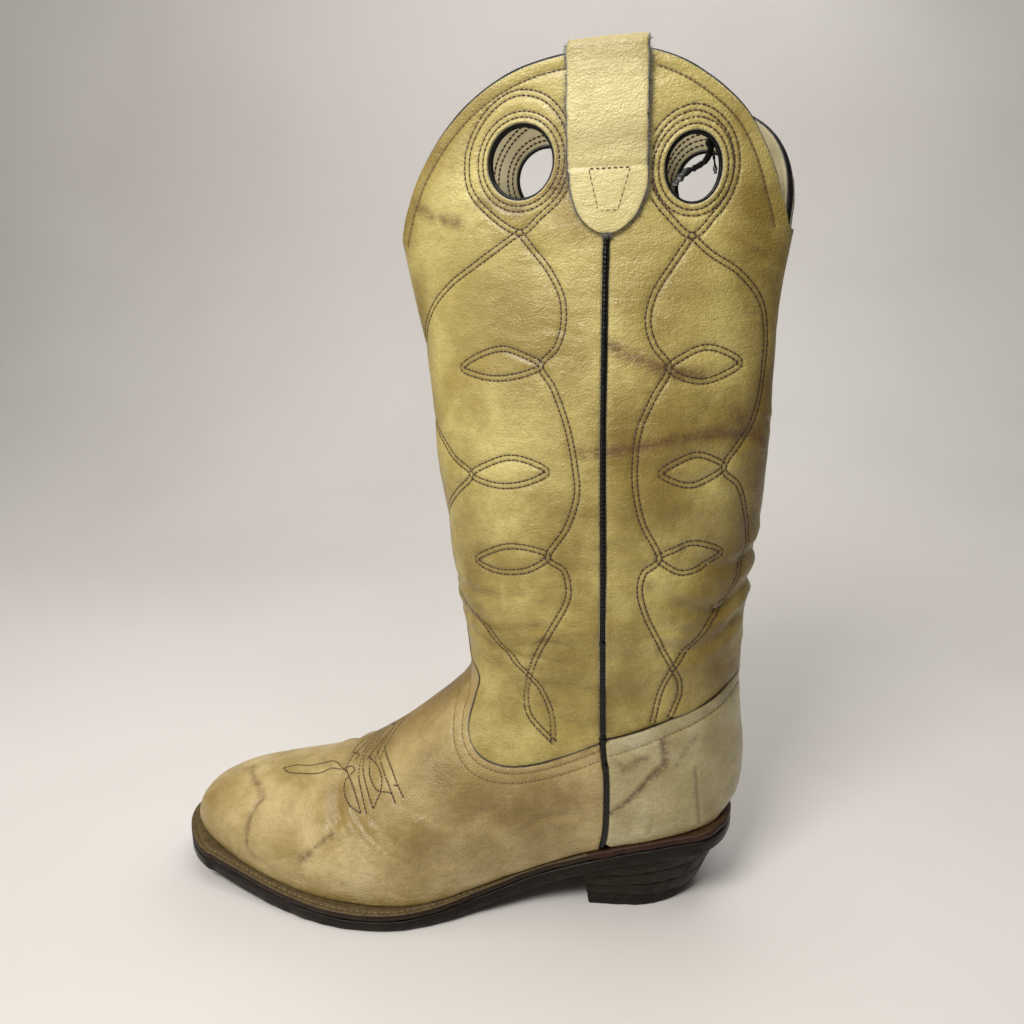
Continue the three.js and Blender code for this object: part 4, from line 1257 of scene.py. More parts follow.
def plain_look(name, color, roughness, metallic=0.0):
    look = Look(name)
    variation = look.mix(look.ramp(look.noise(80, 5), 0.3, 0.7), tuple(c * 0.75 for c in color), color)
    return look.done(variation, roughness, look.bump(look.noise(500, 5), 0.25, 0.0003), Metallic=metallic)


BROWN_STAIN = (0.115, 0.052, 0.014)
THREAD_SHADOW = (0.10, 0.058, 0.016)

SHAFT_LOOK = smooth_leather("shaft_leather", (0.62, 0.52, 0.185), (0.32, 0.234, 0.052), (0.34, 0.31, 0.20),
                            BROWN_STAIN, gloss=0.36, painted_light_z_range=(0.16, 0.44), cracks=0.16,
                            groove_shade_color=THREAD_SHADOW,
                            shade=0.7)
VAMP_LOOK = smooth_leather("vamp_leather", (0.57, 0.44, 0.205), (0.31, 0.215, 0.062), (0.105, 0.076, 0.034),
                           BROWN_STAIN, pale=(0.60, 0.485, 0.265), gloss=0.42, painted_light_z_range=(-0.02, 0.40),
                           groove_shade_color=(0.22, 0.155, 0.05), shade=0.75)
COUNTER_LOOK = smooth_leather("counter_leather", (0.60, 0.53, 0.30), (0.36, 0.295, 0.125),
                              (0.105, 0.080, 0.040),
                              BROWN_STAIN, pale=(0.68, 0.62,
                                                 0.42), gloss=0.32, painted_light_z_range=(0.0, 0.3), cracks=0.12,
                              groove_shade_color=(0.28, 0.21, 0.08))
STRAP_LOOK = smooth_leather("strap_leather", (0.72, 0.645, 0.33), (0.53, 0.43, 0.16), (0.36, 0.35, 0.30),
                            BROWN_STAIN, gloss=0.40, painted_light_z_range=(0.28, 0.40), groove_shade_color=(0.32, 0.22, 0.08),
                            groove_shade_width=0.8, shade=0.6)
SHADE_DARKENED_LINING_LOOK = shade_darkened_lining()
BINDING_LOOK = black_leather("black_binding")
PIPING_LOOK = black_leather("black_piping", 0.04, 0.14)
WELT_LOOK = sole_leather("welt_leather", (0.012, 0.006, 0.003), (0.040, 0.022, 0.010), 0.42,
                         upward_color=(0.120, 0.086, 0.036))
OUTSOLE_LOOK = sole_leather("outsole_leather", (0.004, 0.0025, 0.0015), (0.018, 0.011, 0.005), 0.38)
RAND_LOOK = sole_leather("rand_leather", (0.014, 0.006, 0.004), (0.060, 0.022, 0.010), 0.38,
                         upward_color=(0.050, 0.027, 0.012))
HEEL_LOOK = sole_leather("heel_leather", (0.005, 0.004, 0.002), (0.026, 0.022, 0.010), 0.42, 0.2)
RUBBER_LOOK = rubber_look()
BROWN_THREAD = thread_look("brown_thread", (0.046, 0.021, 0.009), (0.02, 0.009, 0.005))
OLIVE_THREAD = thread_look("olive_thread", (0.22, 0.15, 0.048), (0.10, 0.066, 0.02))
RIM_THREAD = thread_look("rim_thread", (0.13, 0.082, 0.026), (0.06, 0.038, 0.012))
STRAP_THREAD = thread_look("strap_thread", (0.16, 0.10, 0.034), (0.08, 0.048, 0.016))
WELT_THREAD = thread_look("welt_thread", (0.24, 0.165, 0.075), (0.085, 0.052, 0.022))
FIBRE_LOOK = plain_look("raw_fibre", (0.27, 0.26, 0.215), 0.9)
STEEL_LOOK = plain_look("nail_steel", (0.45, 0.44, 0.42), 0.4, 1.0)
BOARD_LOOK = plain_look("fibre_board", (0.22, 0.15, 0.09), 0.9)
CORK_LOOK = plain_look("cork", (0.32, 0.20, 0.11), 0.95)


# ---------------------------------------------------------------- upper pieces
def add_sheet(name, nodes, look, loops, spacing, offsets, angles, height=None, rows=(), facing=1,
              stations=(0.0, TOP_STATION), edge_round=EDGE_ROUND, furrows=()):
    inner = sheet_points(loops, spacing, stations, angles, furrows)
    obj, base = leather_sheet(name, loops, inner, offsets, edge_round, height, facing)
    pad = np.zeros(len(base))
    if facing > 0:
        set_attribute(obj, "stain", np.concatenate([mark_values(base, STAIN_LINES), pad]))
        # Painted shade: how strongly the broad shade areas darken the leather at each point.
        set_attribute(obj, "shade", np.concatenate([mark_values(base, PAINTED_SHADE_LINES), pad]))
        d = row_distance(base, rows)
        set_attribute(obj, "groove", np.concatenate([np.minimum(d, FAR), pad + FAR]))
    return finish_piece(obj, nodes, look)


# How far from the mid-plane the edges behind the heel are drawn, and how wide apart they may start.
BACK_SEAM_REACH = 14.0
BACK_SEAM_HALF = 7.0


def close_back_seam(obj):
    """Draw the counter's two lower edges together on the mid-plane behind the heel."""
    stations = np.linspace(CLOSED_STATION - 3.0, CLOSED_STATION, 200)
    edge = placed(skin(stations, np.full_like(stations, math.pi - 0.02))) / MM
    middle = edge[-1, 1]
    gap = np.abs(edge[:, 1] - middle)
    edge, gap = edge[gap < BACK_SEAM_HALF], gap[gap < BACK_SEAM_HALF]
    order = np.argsort(edge[:, 2])
    flat_points = np.empty(len(obj.data.vertices) * 3)
    obj.data.vertices.foreach_get("co", flat_points)
    points = flat_points.reshape(-1, 3) / MM
    here = np.interp(points[:, 2], edge[order, 2], gap[order], right=0.0)
    away = np.abs(points[:, 1] - middle)
    share = np.clip(1 - (away - here) / BACK_SEAM_REACH, 0, 1)
    share[points[:, 0] < edge[:, 0].min() - 12.0] = 0.0
    closed = np.maximum(away - (here + 0.25) * share * (here > 0), 0.0)
    points[:, 1] = middle + np.sign(points[:, 1] - middle) * closed
    obj.data.vertices.foreach_set("co", (points * MM).reshape(-1))
    obj.data.update()


FRONT_ANGLES = (-2.4, 2.4)
BACK_ANGLES = (math.pi - 2.4, math.pi + 2.4)
ALL_ANGLES = (-math.pi, math.pi)


def build_upper():
    front_holes = hole_outlines("front", 1.2, 0.0)
    back_holes = hole_outlines("back", 1.2, BACK_CENTRE)
    front_rows = FRONT_ROWS + RIM_ROWS
    back_rows = BACK_ROWS + RIM_ROWS
    rim_rows = rim_lines(1.0)
    front_furrows = np.vstack([
        furrow_points(both_sides(FRONT_LINES + [hole_circle("front")], 1.0), DOUBLE_FURROW),
        furrow_points(rim_rows, SINGLE_FURROW),
    ])
    back_furrows = np.vstack([
        furrow_points(both_sides(BACK_LINES + [hole_circle("back")], 1.0), DOUBLE_FURROW, BACK_CENTRE),
        furrow_points(rim_rows, SINGLE_FURROW, BACK_CENTRE),
    ])
    marks = both_sides([points for points, _, _ in VAMP_CREASES], 1.0)
    vamp_furrows = np.vstack([
        furrow_points(both_sides(VAMP_ROWS, 1.0) + TOE_UV, SINGLE_FURROW),
        furrow_points(marks, CREASE_FURROW),
    ])
    marks = both_sides([points for points, _, _ in COUNTER_CREASES], 1.0)
    counter_furrows = np.vstack([
        furrow_points(both_sides(COUNTER_ROWS, 1.0), SINGLE_FURROW, BACK_CENTRE),
        furrow_points(marks, CREASE_FURROW, BACK_CENTRE),
    ])
    add_sheet("shaft_front", ["front_panel"], SHAFT_LOOK,
              [front_panel_outline(0.7)] + front_holes,
              2.1, (0.0, -LEATHER), FRONT_ANGLES, shaft_height(front_rows), front_rows, stations=(10.3, 28.9),
              furrows=front_furrows)
    add_sheet("shaft_back", ["back_panel"], SHAFT_LOOK,
              [back_panel_outline(0.7)] + back_holes,
              2.1, (0.0, -LEATHER), BACK_ANGLES, shaft_height(back_rows), back_rows, stations=(15.0, 28.9),
              furrows=back_furrows)
    add_sheet("vamp_leather", ["vamp"], VAMP_LOOK, [vamp_outline()], 1.35, (0.0, -LEATHER),
              ALL_ANGLES, vamp_height, VAMP_STITCHES + TOE_STITCHES, stations=(0.05, 16.2),
              furrows=vamp_furrows)
    counter = add_sheet("counter_leather", ["heel_counter"], COUNTER_LOOK,
                        [counter_outline()], 1.35,
              (0.0, -LEATHER), BACK_ANGLES, counter_height, COUNTER_STITCHES, stations=(12.0, 20.5),
              furrows=counter_furrows)
    close_back_seam(counter)
    lining_out = -LEATHER - 0.25
    add_sheet("lining_front", ["front_lining"], SHADE_DARKENED_LINING_LOOK,
              [front_panel_outline(0.7, 0.2)] + front_holes, 3.2, (lining_out, lining_out - LINING),
              FRONT_ANGLES,
              facing=-1, stations=(10.3, 28.9), edge_round=0.5)
    add_sheet("lining_back", ["back_lining"], SHADE_DARKENED_LINING_LOOK,
              [back_panel_outline(0.7, 0.2)] + back_holes, 3.2, (lining_out, lining_out - LINING),
              BACK_ANGLES,
              facing=-1, stations=(15.0, 28.9), edge_round=0.5)


PIPING_KNOTS = (87.0, 101.0, 152.0)


def build_piping():
    """Cord that stands proud in each side seam, with the small ridges of its twisted cover."""
    line = SEAM[np.isfinite(SEAM).all(1)]
    z = skin_at(line)[:, 2]
    line = line[(z < STRAP_BOTTOM_Z + 6) & (z > 37.5)]
    for side, label in SIDES:
        uv = line * [1, side]
        centre, n, across_seam = line_frame(uv)
        at = arc_length(centre)
        dense = np.arange(0, at[-1], 0.45)
        centre, n, across_seam = (along_line(values, at, dense) for values in (centre, n, across_seam))
        ridges = 1 + 0.06 * np.sin(dense * 2 * math.pi / 1.9) + 0.035 * wave_noise(centre, 9, 41)
        for knot in PIPING_KNOTS:
            ridges += 0.28 * np.exp(-((centre[:, 2] - knot) / 1.3) ** 2)
            ridges -= 0.16 * np.exp(-((centre[:, 2] - knot - 3.2) / 1.0) ** 2)
        ridges = ridges[:, None]
        vertices, faces = ring_tube(centre - n * 0.25, across_seam * ridges, n * ridges, 1.42, 1.75)
        faces = [face[::-1] for face in faces]
        add_piece(f"seam_piping_{label}", vertices, faces, [f"side_piping_{label}"],
                  PIPING_LOOK)


BEAD_SIZE = {"front": 1.5, "back": 1.15}


def build_top_binding():
    half = rim_uv(0.9, 1.0)
    ring_seam = float(on_skin([(STRAP_X, 400)])[0][1])
    front_half = half[half[:, 1] < ring_seam - 0.004]
    back_half = half[half[:, 1] > ring_seam + 0.004]
    loops = {
        "front": np.vstack([front_half[::-1] * [1, -1], front_half[1:]]),
        "back": np.vstack([back_half, np.stack([back_half[:, 0], 2 * math.pi - back_half[:, 1]],
                          -1)[::-1][1:]]),
    }
    for label, uv in loops.items():
        p, n, up = line_frame(uv)
        wobble = 1 + 0.05 * wave_noise(p, 14, 51)
        size = BEAD_SIZE[label]
        centre = p - n * (0.4 + size)
        vertices, faces = ring_tube(centre, n * wobble[:, None], up * wobble[:, None], size, 0.9 * size, 14,
                                    False)
        add_piece(f"top_bead_{label}", vertices, faces, [f"top_binding_{label}"],
                  BINDING_LOOK)


def build_hole_bindings():
    for end in PULL_HOLES:
        ring = on_skin(hole_edge(end, 0.7))
        for side, label in SIDES:
            uv = ring * [1, side]
            p = skin_at(uv)
            n = normals_at(uv)
            radial = p - p.mean(0)
            radial -= n * (radial * n).sum(1, keepdims=True)
            radial /= np.linalg.norm(radial, axis=1, keepdims=True)
            wobble = 1 + 0.08 * wave_noise(p, 8, 61)
            vertices, faces = ring_tube(p - n * 2.7, n * wobble[:, None], radial * wobble[:, None], 1.25,
                                        0.85, 12, True)
            if side > 0:
                faces = [f[::-1] for f in faces]
            add_piece(f"hole_bead_{end}_{label}", vertices, faces, [f"hole_binding_{end}_{label}"],
                      BINDING_LOOK)


def build_torn_strip():
    """Loose end of the hole binding, which hangs across the rear hole on the outer side."""
    paths = {
        "long": ([(119.5, 367), (120.5, 363), (118.5, 359), (114.5, 356.6), (110, 354.5), (105, 349.5)],
                 1.55),
        "short": ([(121.6, 362), (122.8, 358), (123.2, 354)], 0.7),
    }
    for label, (points, half_width) in paths.items():
        uv = side_line(points, -1, 0.5)
        centre = surface(uv, -3.1)
        n = normals_at(uv)
        direction = unit(np.gradient(centre, axis=0))
        across = np.cross(direction, n)
        f = np.linspace(0, 1, len(centre))
        centre = centre - n * (1.3 * np.sin(f * math.pi))[:, None]
        ragged = 1 + 0.3 * wave_noise(centre, 3.2, 65) + 0.2 * wave_noise(centre, 1.6, 66)
        wide = half_width * np.clip(1.25 - 0.45 * np.sin(f * math.pi), 0.5, 1.3) * ragged
        twist = 0.5 * np.sin(f * 5.0)
        flat_dir = across * np.cos(twist)[:, None] + n * np.sin(twist)[:, None]
        thick_dir = np.cross(direction, flat_dir)
        vertices, faces = ring_tube(centre, flat_dir * wide[:, None], thick_dir, 1.0, 0.32, 10, False)
        add_piece(f"torn_binding_{label}", vertices, faces, [], BINDING_LOOK)


def strap_row(side, w):
    """Strap line at a sideways place w (-1 to 1): up outside, over the rim, down inside."""
    out_off, in_off = 1.55, -LEATHER - LINING - 1.6
    rim_z = 401.2
    z_out = np.linspace(STRAP_BOTTOM_Z, rim_z, 84)
    x_out = STRAP_X + w * STRAP_HALF_WIDTH - STRAP_LEAN * (z_out - STRAP_BOTTOM_Z) / (rim_z - STRAP_BOTTOM_Z)
    uv = on_skin(np.stack([x_out, z_out], -1)) * [1, side]
    bulge = 0.35 * np.sin(np.clip((z_out - 358) / (rim_z - 358), 0, 1) * math.pi)
    crease = -0.45 * np.exp(-((z_out - 357) / 1.3) ** 2) + 0.3 * smoothstep(357, 360, z_out)
    outer = skin_at(uv) + normals_at(uv) * (out_off + bulge + crease)[:, None]
    top = uv[-1]
    p0 = skin(top[0], top[1])
    n0 = normals(top[0], top[1])
    middle, reach = (out_off + 0.3 + in_off) / 2, (out_off + 0.3 - in_off) / 2
    turn = np.linspace(0, math.pi, 16)[1:-1]
    over = p0 + n0 * (middle + reach * np.cos(turn))[:, None]
    over[:, 2] += 3.3 * np.sin(turn)
    z_in = np.linspace(rim_z, STRAP_BOTTOM_Z + 14, 56)
    uv_in = on_skin(np.stack([np.full_like(z_in, x_out[-1]), z_in], -1)) * [1, side]
    inner = skin_at(uv_in) + normals_at(uv_in) * in_off
    return np.vstack([outer, over, inner])


STRAP_END = 24.0
STRAP_END_ROWS = 29


def round_strap_end(grid, across_strap):
    """Draw the lowest rows of the outside end in towards the middle."""
    centre = len(across_strap) // 2
    for k in range(STRAP_END_ROWS):
        drop = min(grid[k, centre, 2] - grid[0, centre, 2], STRAP_END)
        squeeze = max(math.sqrt(max(1 - ((STRAP_END - drop) / STRAP_END) ** 2, 0.0)), 0.10)
        x_target = STRAP_X + across_strap * STRAP_HALF_WIDTH * squeeze
        source_x = grid[k, :, 0].copy()
        for axis in range(3):
            grid[k, :, axis] = np.interp(x_target, source_x, grid[k, :, axis])


def build_strap(side, label):
    columns = 31
    across_strap = np.linspace(-1, 1, columns)
    grid = np.stack([strap_row(side, w) for w in across_strap], 1)
    rows = len(grid)
    round_strap_end(grid, across_strap)
    grid[:, 0, 0] -= 0.22 * wave_noise(grid[:, 0, :], 7, 71 + side)
    grid[:, -1, 0] += 0.22 * wave_noise(grid[:, -1, :], 6, 75 + side)
    du = np.gradient(grid, axis=0)
    dv = np.gradient(grid, axis=1)
    n = np.cross(du, dv)
    n = unit(n)
    if n[20, 15, 1] * side < 0:
        n = -n
    ramp = np.minimum(np.arange(columns), np.arange(columns)[::-1])
    edge_mm = ramp * (2 * STRAP_HALF_WIDTH / (columns - 1))
    thin = 0.95 - 0.35 * np.exp(-(edge_mm / 0.9) ** 2)
    row_thin = np.ones(rows)
    row_thin[0] = row_thin[-1] = 0.6
    thickness = thin[None, :] * row_thin[:, None]
    noise = 0.12 * wave_noise(grid.reshape(-1, 3), 16, 81).reshape(rows, columns)
    top = grid + n * (thickness + noise)[..., None]
    bottom = grid - n * thickness[..., None]
    vertices = np.vstack([top.reshape(-1, 3), bottom.reshape(-1, 3)])
    total = rows * columns
    faces = []
    for i in range(rows - 1):
        for j in range(columns - 1):
            a = i * columns + j
            quad = (a, a + 1, a + columns + 1, a + columns)
            faces.append(quad)
            faces.append(tuple(q + total for q in quad[::-1]))
    rim = ([(0, j) for j in range(columns)] + [(i, columns - 1) for i in range(1, rows)]
           + [(rows - 1, j) for j in range(columns - 2, -1, -1)] + [(i, 0) for i in range(rows - 2, 0, -1)])
    ids = [i * columns + j for i, j in rim]
    for a, b in zip(ids, ids[1:] + ids[:1]):
        faces.append((b, a, a + total, b + total))
    first = faces[0]
    a, b, c = (vertices[first[k]] for k in range(3))
    if np.cross(b - a, c - a).dot(n[0, 0]) < 0:
        faces = [f[::-1] for f in faces]
    obj = new_object(f"strap_{label}", placed(vertices), faces)
    edge = np.minimum(np.tile(edge_mm, (rows, 1)),
                      (np.minimum(np.arange(rows), np.arange(rows)[::-1]) * 0.9)[:, None])
    both = np.concatenate([edge.reshape(-1) * 1.1, np.zeros(total)])
    set_attribute(obj, "edge", both)
    set_attribute(obj, "stain", np.zeros(total * 2))
    height = vertices[:, 2]
    worn = 0.75 * smoothstep(384, 406, height) + 0.5 * np.exp(-((height - 368) / 6) ** 2)
    set_attribute(obj, "shade", np.minimum(worn, 0.75))
    trapezoid = [(71.5, 356.2), (88.3, 356.2), (84.0, 340), (76.0, 340), (71.5, 356.2)]
    sewn = []
    for p, q in zip(trapezoid[:-1], trapezoid[1:]):
        line = on_skin(curve_through([p, q], 0.8)) * [1, side]
        n_line = normals_at(line)
        sewn.append((skin_at(line) + n_line * 2.42, n_line))
    distance = distance_to(vertices[:total], np.vstack([p for p, _ in sewn]))
    set_attribute(obj, "groove", np.concatenate([np.minimum(distance, FAR), np.full(total, FAR)]))
    finish_piece(obj, [f"pull_strap_{label}"], STRAP_LOOK)
    vertices, faces = stitch_mesh(sewn, 1.75, 0.33, 2.2)
    add_piece(f"strap_stitching_{label}", vertices, faces, [], STRAP_THREAD)
    return grid, n


FIBRE_SPREAD = 0.55
FIBRE_RADIUS = 0.08


def fibres(name, starts, directions, count, length):
    """Short frayed fibres along a raw leather edge."""
    vertices = []
    faces = []
    picks = RNG.integers(0, len(starts), count)
    for i in picks:
        d = directions[i] + RNG.normal(0, FIBRE_SPREAD, 3)
        d /= np.linalg.norm(d)
        size = length * RNG.uniform(0.3, 1.0)
        bend = RNG.normal(0, 0.35, 3) * size
        p = starts[i] + RNG.normal(0, 0.22, 3)
        u = np.cross(d, [0.3, 0.5, 0.8])
        u /= np.linalg.norm(u)
        v = np.cross(d, u)
        start = len(vertices)
        for f, g in ((0.0, 1.0), (0.5, 0.8)):
            c = p + d * size * f + bend * f * f
            for k in range(3):
                a = 2 * math.pi * k / 3
                vertices.append(c + (u * math.cos(a) + v * math.sin(a)) * FIBRE_RADIUS * g)
        vertices.append(p + d * size + bend)
        for k in range(3):
            m = (k + 1) % 3
            faces.append((start + k, start + m, start + 3 + m, start + 3 + k))
            faces.append((start + 3 + k, start + 3 + m, start + 6))
        faces.append((start, start + 2, start + 1))
    return add_piece(name, np.array(vertices), faces, [], FIBRE_LOOK)


def build_straps():
    for side, label in SIDES:
        grid, n = build_strap(side, label)
        left = grid[:86, 0]
        right = grid[:86, -1]
        low = grid[0:1, :].reshape(-1, 3)
        starts = np.vstack([left, right, low])
        toward = np.vstack([np.tile([-1, 0, 0], (86, 1)), np.tile([1, 0, 0], (86, 1)),
                           np.tile([0, 0, -1], (len(low), 1))])
        toward = toward + np.vstack([n[:86, 0], n[:86, -1], n[0]]) * 0.25
        fibres(f"strap_fibres_{label}", starts, toward, 2200 if side < 0 else 1200, 2.0)


def add_stitching(name, rows, side, height, look, length, radius, pitch=STITCH_PITCH):
    """Stitches that lie on the leather's own relief, given by its height function."""
    picked = [(p, n) for s, p, n in rows if s == side]
    lift = height(np.vstack([p for p, _ in picked])) + 0.12
    ends = np.cumsum([len(p) for p, _ in picked])[:-1]
    lines = [(p + n * up[:, None], n) for (p, n), up in zip(picked, np.split(lift, ends))]
    vertices, faces = stitch_mesh(lines, length, radius, pitch)
    return add_piece(name, vertices, faces, [], look)


def lining_rows(rows):
    """The same rows on the lining's inner face."""
    depth = LEATHER + 0.25 + LINING + 0.1
    return [(side, p - n * depth, -n) for side, p, n in rows]


def flat(points):
    return np.zeros(len(points))


def build_stitching():
    front = shaft_height(FRONT_ROWS + RIM_ROWS)
    back = shaft_height(BACK_ROWS + RIM_ROWS)
    kinds = [
        ("shaft_stitching_front", FRONT_ROWS, front, "leather_shaft", BROWN_THREAD, 1.95, 0.41),
        ("shaft_stitching_back", BACK_ROWS, back, "leather_shaft", BROWN_THREAD, 1.95, 0.41),
        ("lining_stitching_front", lining_rows(FRONT_ROWS), flat, "leather_lining", BROWN_THREAD, 1.95, 0.41),
        ("lining_stitching_back", lining_rows(BACK_ROWS), flat, "leather_lining", BROWN_THREAD, 1.95, 0.41),
        ("rim_stitching", RIM_ROWS, front, "leather_shaft", RIM_THREAD, 1.75, 0.42),
        ("vamp_stitching", VAMP_STITCHES, vamp_height, "leather_vamp", OLIVE_THREAD, 1.75, 0.38),
        ("counter_stitching", COUNTER_STITCHES, counter_height, "leather_vamp", OLIVE_THREAD, 1.7, 0.3),
    ]
    for side, label in SIDES:
        for name, rows, height, slot, look, length, radius in kinds:
            add_stitching(f"{name}_{label}", rows, side, height, look, length, radius)
    add_stitching("toe_stitching", TOE_STITCHES, -1, vamp_height, BROWN_THREAD, 2.1, 0.43,
                  2.05)


# ---------------------------------------------------------------- sole and heel
SEAT_T = np.linspace(1.6, 14.41, 120)
SEAT = section_at(SEAT_T)[:, 2:4]


SEAT_GAP = 0.3


def seat_z(x):
    x = np.asarray(x, float)
    return np.where(x < SEAT[0, 0], SEAT[0, 1] + (SEAT[0, 0] - x) * 0.2, np.interp(x, SEAT[:, 0], SEAT[:, 1]))


def smooth_table(rows, x, column=1):
    """Cubic Hermite through table rows, which follows the CAD's straight spans closely."""
    xs, ys = rows[:, 0], rows[:, column]
    slopes = np.gradient(ys, xs)
    i = np.clip(np.searchsorted(xs, x) - 1, 0, len(xs) - 2)
    h = xs[i + 1] - xs[i]
    f = np.clip((x - xs[i]) / h, 0, 1)
    return ((2 * f ** 3 - 3 * f ** 2 + 1) * ys[i] + (f ** 3 - 2 * f ** 2 + f) * h * slopes[i]
            + (-2 * f ** 3 + 3 * f ** 2) * ys[i + 1] + (f ** 3 - f ** 2) * h * slopes[i + 1])


def sole_half_width(x, column):
    x = np.asarray(x, float)
    toe_x, heel_x = SOLE_EDGE[0, 0], SOLE_EDGE[-1, 0]
    u = np.clip((toe_x - x) / (toe_x - TOE_X), 0, 1)
    v = np.clip((x - heel_x) / (SOLE_BACK_X - heel_x), 0, 1)
    toe = SOLE_EDGE[0, column] * np.maximum(1 - u ** 1.7, 1e-4) ** 0.62
    heel = SOLE_EDGE[-1, column] * np.maximum(1 - v ** 2, 1e-4) ** 0.5
    return np.where(x < toe_x, toe, np.where(x > heel_x, heel, smooth_table(SOLE_EDGE, x, column)))


def plan_stations(low, high, low_round, high_round, count=150):
    """Stations along the boot, crowded towards a rounded end."""
    f = np.linspace(0, 1, count)
    if low_round and high_round:
        f = (1 - np.cos(f * math.pi)) / 2
    elif low_round:
        f = 1 - np.cos(f * math.pi / 2)
    elif high_round:
        f = np.sin(f * math.pi / 2)
    return low + (high - low) * f


def edge_loop(low, high, low_round, high_round, count=150):
    """Closed plan outline: outer side from low to high, then inner side back."""
    x = plan_stations(low, high, low_round, high_round, count)
    outer = np.stack([x, -sole_half_width(x, 1)], -1)
    inner = np.stack([x, sole_half_width(x, 2)], -1)
    return outer, inner


def plan_normals(path):
    direction = unit(np.gradient(path, axis=0))
    return np.stack([-direction[:, 1], direction[:, 0]], -1)


def band_object(name, path, profile, top_of, noise_mm, seed, nodes, look):
    """Strip along an edge path: profile is a closed list of (inset, drop below the top)."""
    inward = plan_normals(path)
    rings = []
    bump = wave_noise(np.column_stack([path, np.zeros(len(path))]), 9, seed) * noise_mm
    for k, (p, q) in enumerate(zip(path, inward)):
        z = float(top_of(p[0]))
        for inset, drop in profile:
            xy = p + q * (inset + (bump[k] if inset < 1.0 else 0))
            rings.append((xy[0], xy[1], z - drop))
    faces = ring_faces(len(path), len(profile)) + end_caps(len(path), len(profile))
    return hard_piece(name, np.array(rings), faces, 50, nodes, look)


def hard_piece(name, vertices, faces, degrees, nodes, look):
    """Piece with its normals turned outwards and hard edges above an angle."""
    obj = new_object(name, placed(vertices), faces)
    fix_normals(obj)
    obj.data.set_sharp_from_angle(angle=math.radians(degrees))
    return finish_piece(obj, nodes, look)


def stacked_piece(name, rings, degrees, nodes, look):
    """Closed body from plan outlines, one above the other, with quads across both ends."""
    n = len(rings[0])
    faces = ring_faces(len(rings), n)
    for base in (0, (len(rings) - 1) * n):
        faces += [(base + k, base + k + 1, base + n - 2 - k, base + n - 1 - k) for k in range(n // 2 - 1)]
    return hard_piece(name, np.vstack(rings), faces, degrees, nodes, look)


def fix_normals(obj):
    bm = bmesh.new()
    bm.from_mesh(obj.data)
    bmesh.ops.recalc_face_normals(bm, faces=bm.faces)
    bm.to_mesh(obj.data)
    bm.free()


def welt_top(x):
    return seat_z(x) - SEAT_GAP


def build_welt():
    outer, inner = edge_loop(TOE_X + 0.05, 72.3, True, False, 190)
    path = np.vstack([inner[::-1], outer[1:]])
    path = resampled(path, 1.2)
    profile = [(0.75, 0.0), (1.6, -0.05), (2.3, 0.05), (2.75, 0.5), (3.2, 0.5), (3.65, 0.05), (4.6, 0.0),
               (9.5, 0.0),
               (9.5, 3.4), (0.9, 3.6), (0.35, 3.3), (0.18, 2.6), (0.0, 1.9), (0.08, 1.0), (0.28, 0.35)]
    band_object("welt_strip", path, profile, welt_top, 0.16, 91, ["welt"], WELT_LOOK)
    inward = plan_normals(path)
    row = path + inward * 2.98
    points = np.column_stack([row, welt_top(row[:, 0]) - 0.32])
    up = np.tile([0.0, 0.0, 1.0], (len(points), 1))
    vertices, faces = stitch_mesh([(points, up)], 2.7, 0.42, 3.2)
    add_piece("welt_stitching", vertices, faces, [], WELT_THREAD)


def build_rand():
    outer, inner = edge_loop(72.45, SOLE_BACK_X - 0.05, False, True, 120)
    path = resampled(np.vstack([outer, inner[::-1][1:]]), 1.2)
    profile = [(0.8, 0.0), (2.0, -0.1), (4.5, 0.0), (8.0, 0.1), (8.0, 3.4), (0.9, 3.6), (0.3, 3.3),
               (0.05, 2.5),
               (0.0, 1.5), (0.2, 0.5)]
    band_object("rand_strip", path, profile, welt_top, 0.2, 95, ["heel_rand"], RAND_LOOK)


def build_outsole():
    outer, inner = edge_loop(TOE_X + 0.05, SOLE_BACK_X - 0.05, True, True, 260)
    path = np.vstack([outer, inner[::-1]])
    closed = np.vstack([path[-1:], path, path[:1]])
    inward = plan_normals(closed)[1:-1]
    noise = wave_noise(np.column_stack([path, np.zeros(len(path))]), 8, 101) * 0.14
    top = seat_z(path[:, 0]) - WELT_THICKNESS - 0.9
    low = np.maximum(smooth_table(SOLE_UNDERSIDE, path[:, 0]), 0.0)
    levels = [(2.6, top), (0.8, top), (0.25, top - 0.35), (0.0, top - 1.1), (0.05, (top + low) / 2),
              (0.0, low + 1.2), (0.35, low + 0.4), (1.2, low), (3.0, low)]
    rings = []
    for inset, z in levels:
        moved = inset + noise[:, None] if inset < 1 else inset
        rings.append(np.column_stack([path + inward * moved, z]))
    stacked_piece("outsole_leather", rings, 50, ["outsole"], OUTSOLE_LOOK)


def heel_z(level, x):
    seat = smooth_table(SOLE_UNDERSIDE, x) - SEAT_GAP
    if level <= CAP_LEVEL:
        return np.full_like(x, HEEL_CAP_HEIGHT * level / CAP_LEVEL)
    return HEEL_CAP_HEIGHT + (seat - HEEL_CAP_HEIGHT) * (level - CAP_LEVEL) / (1 - CAP_LEVEL)


HEEL_POINTS = 70


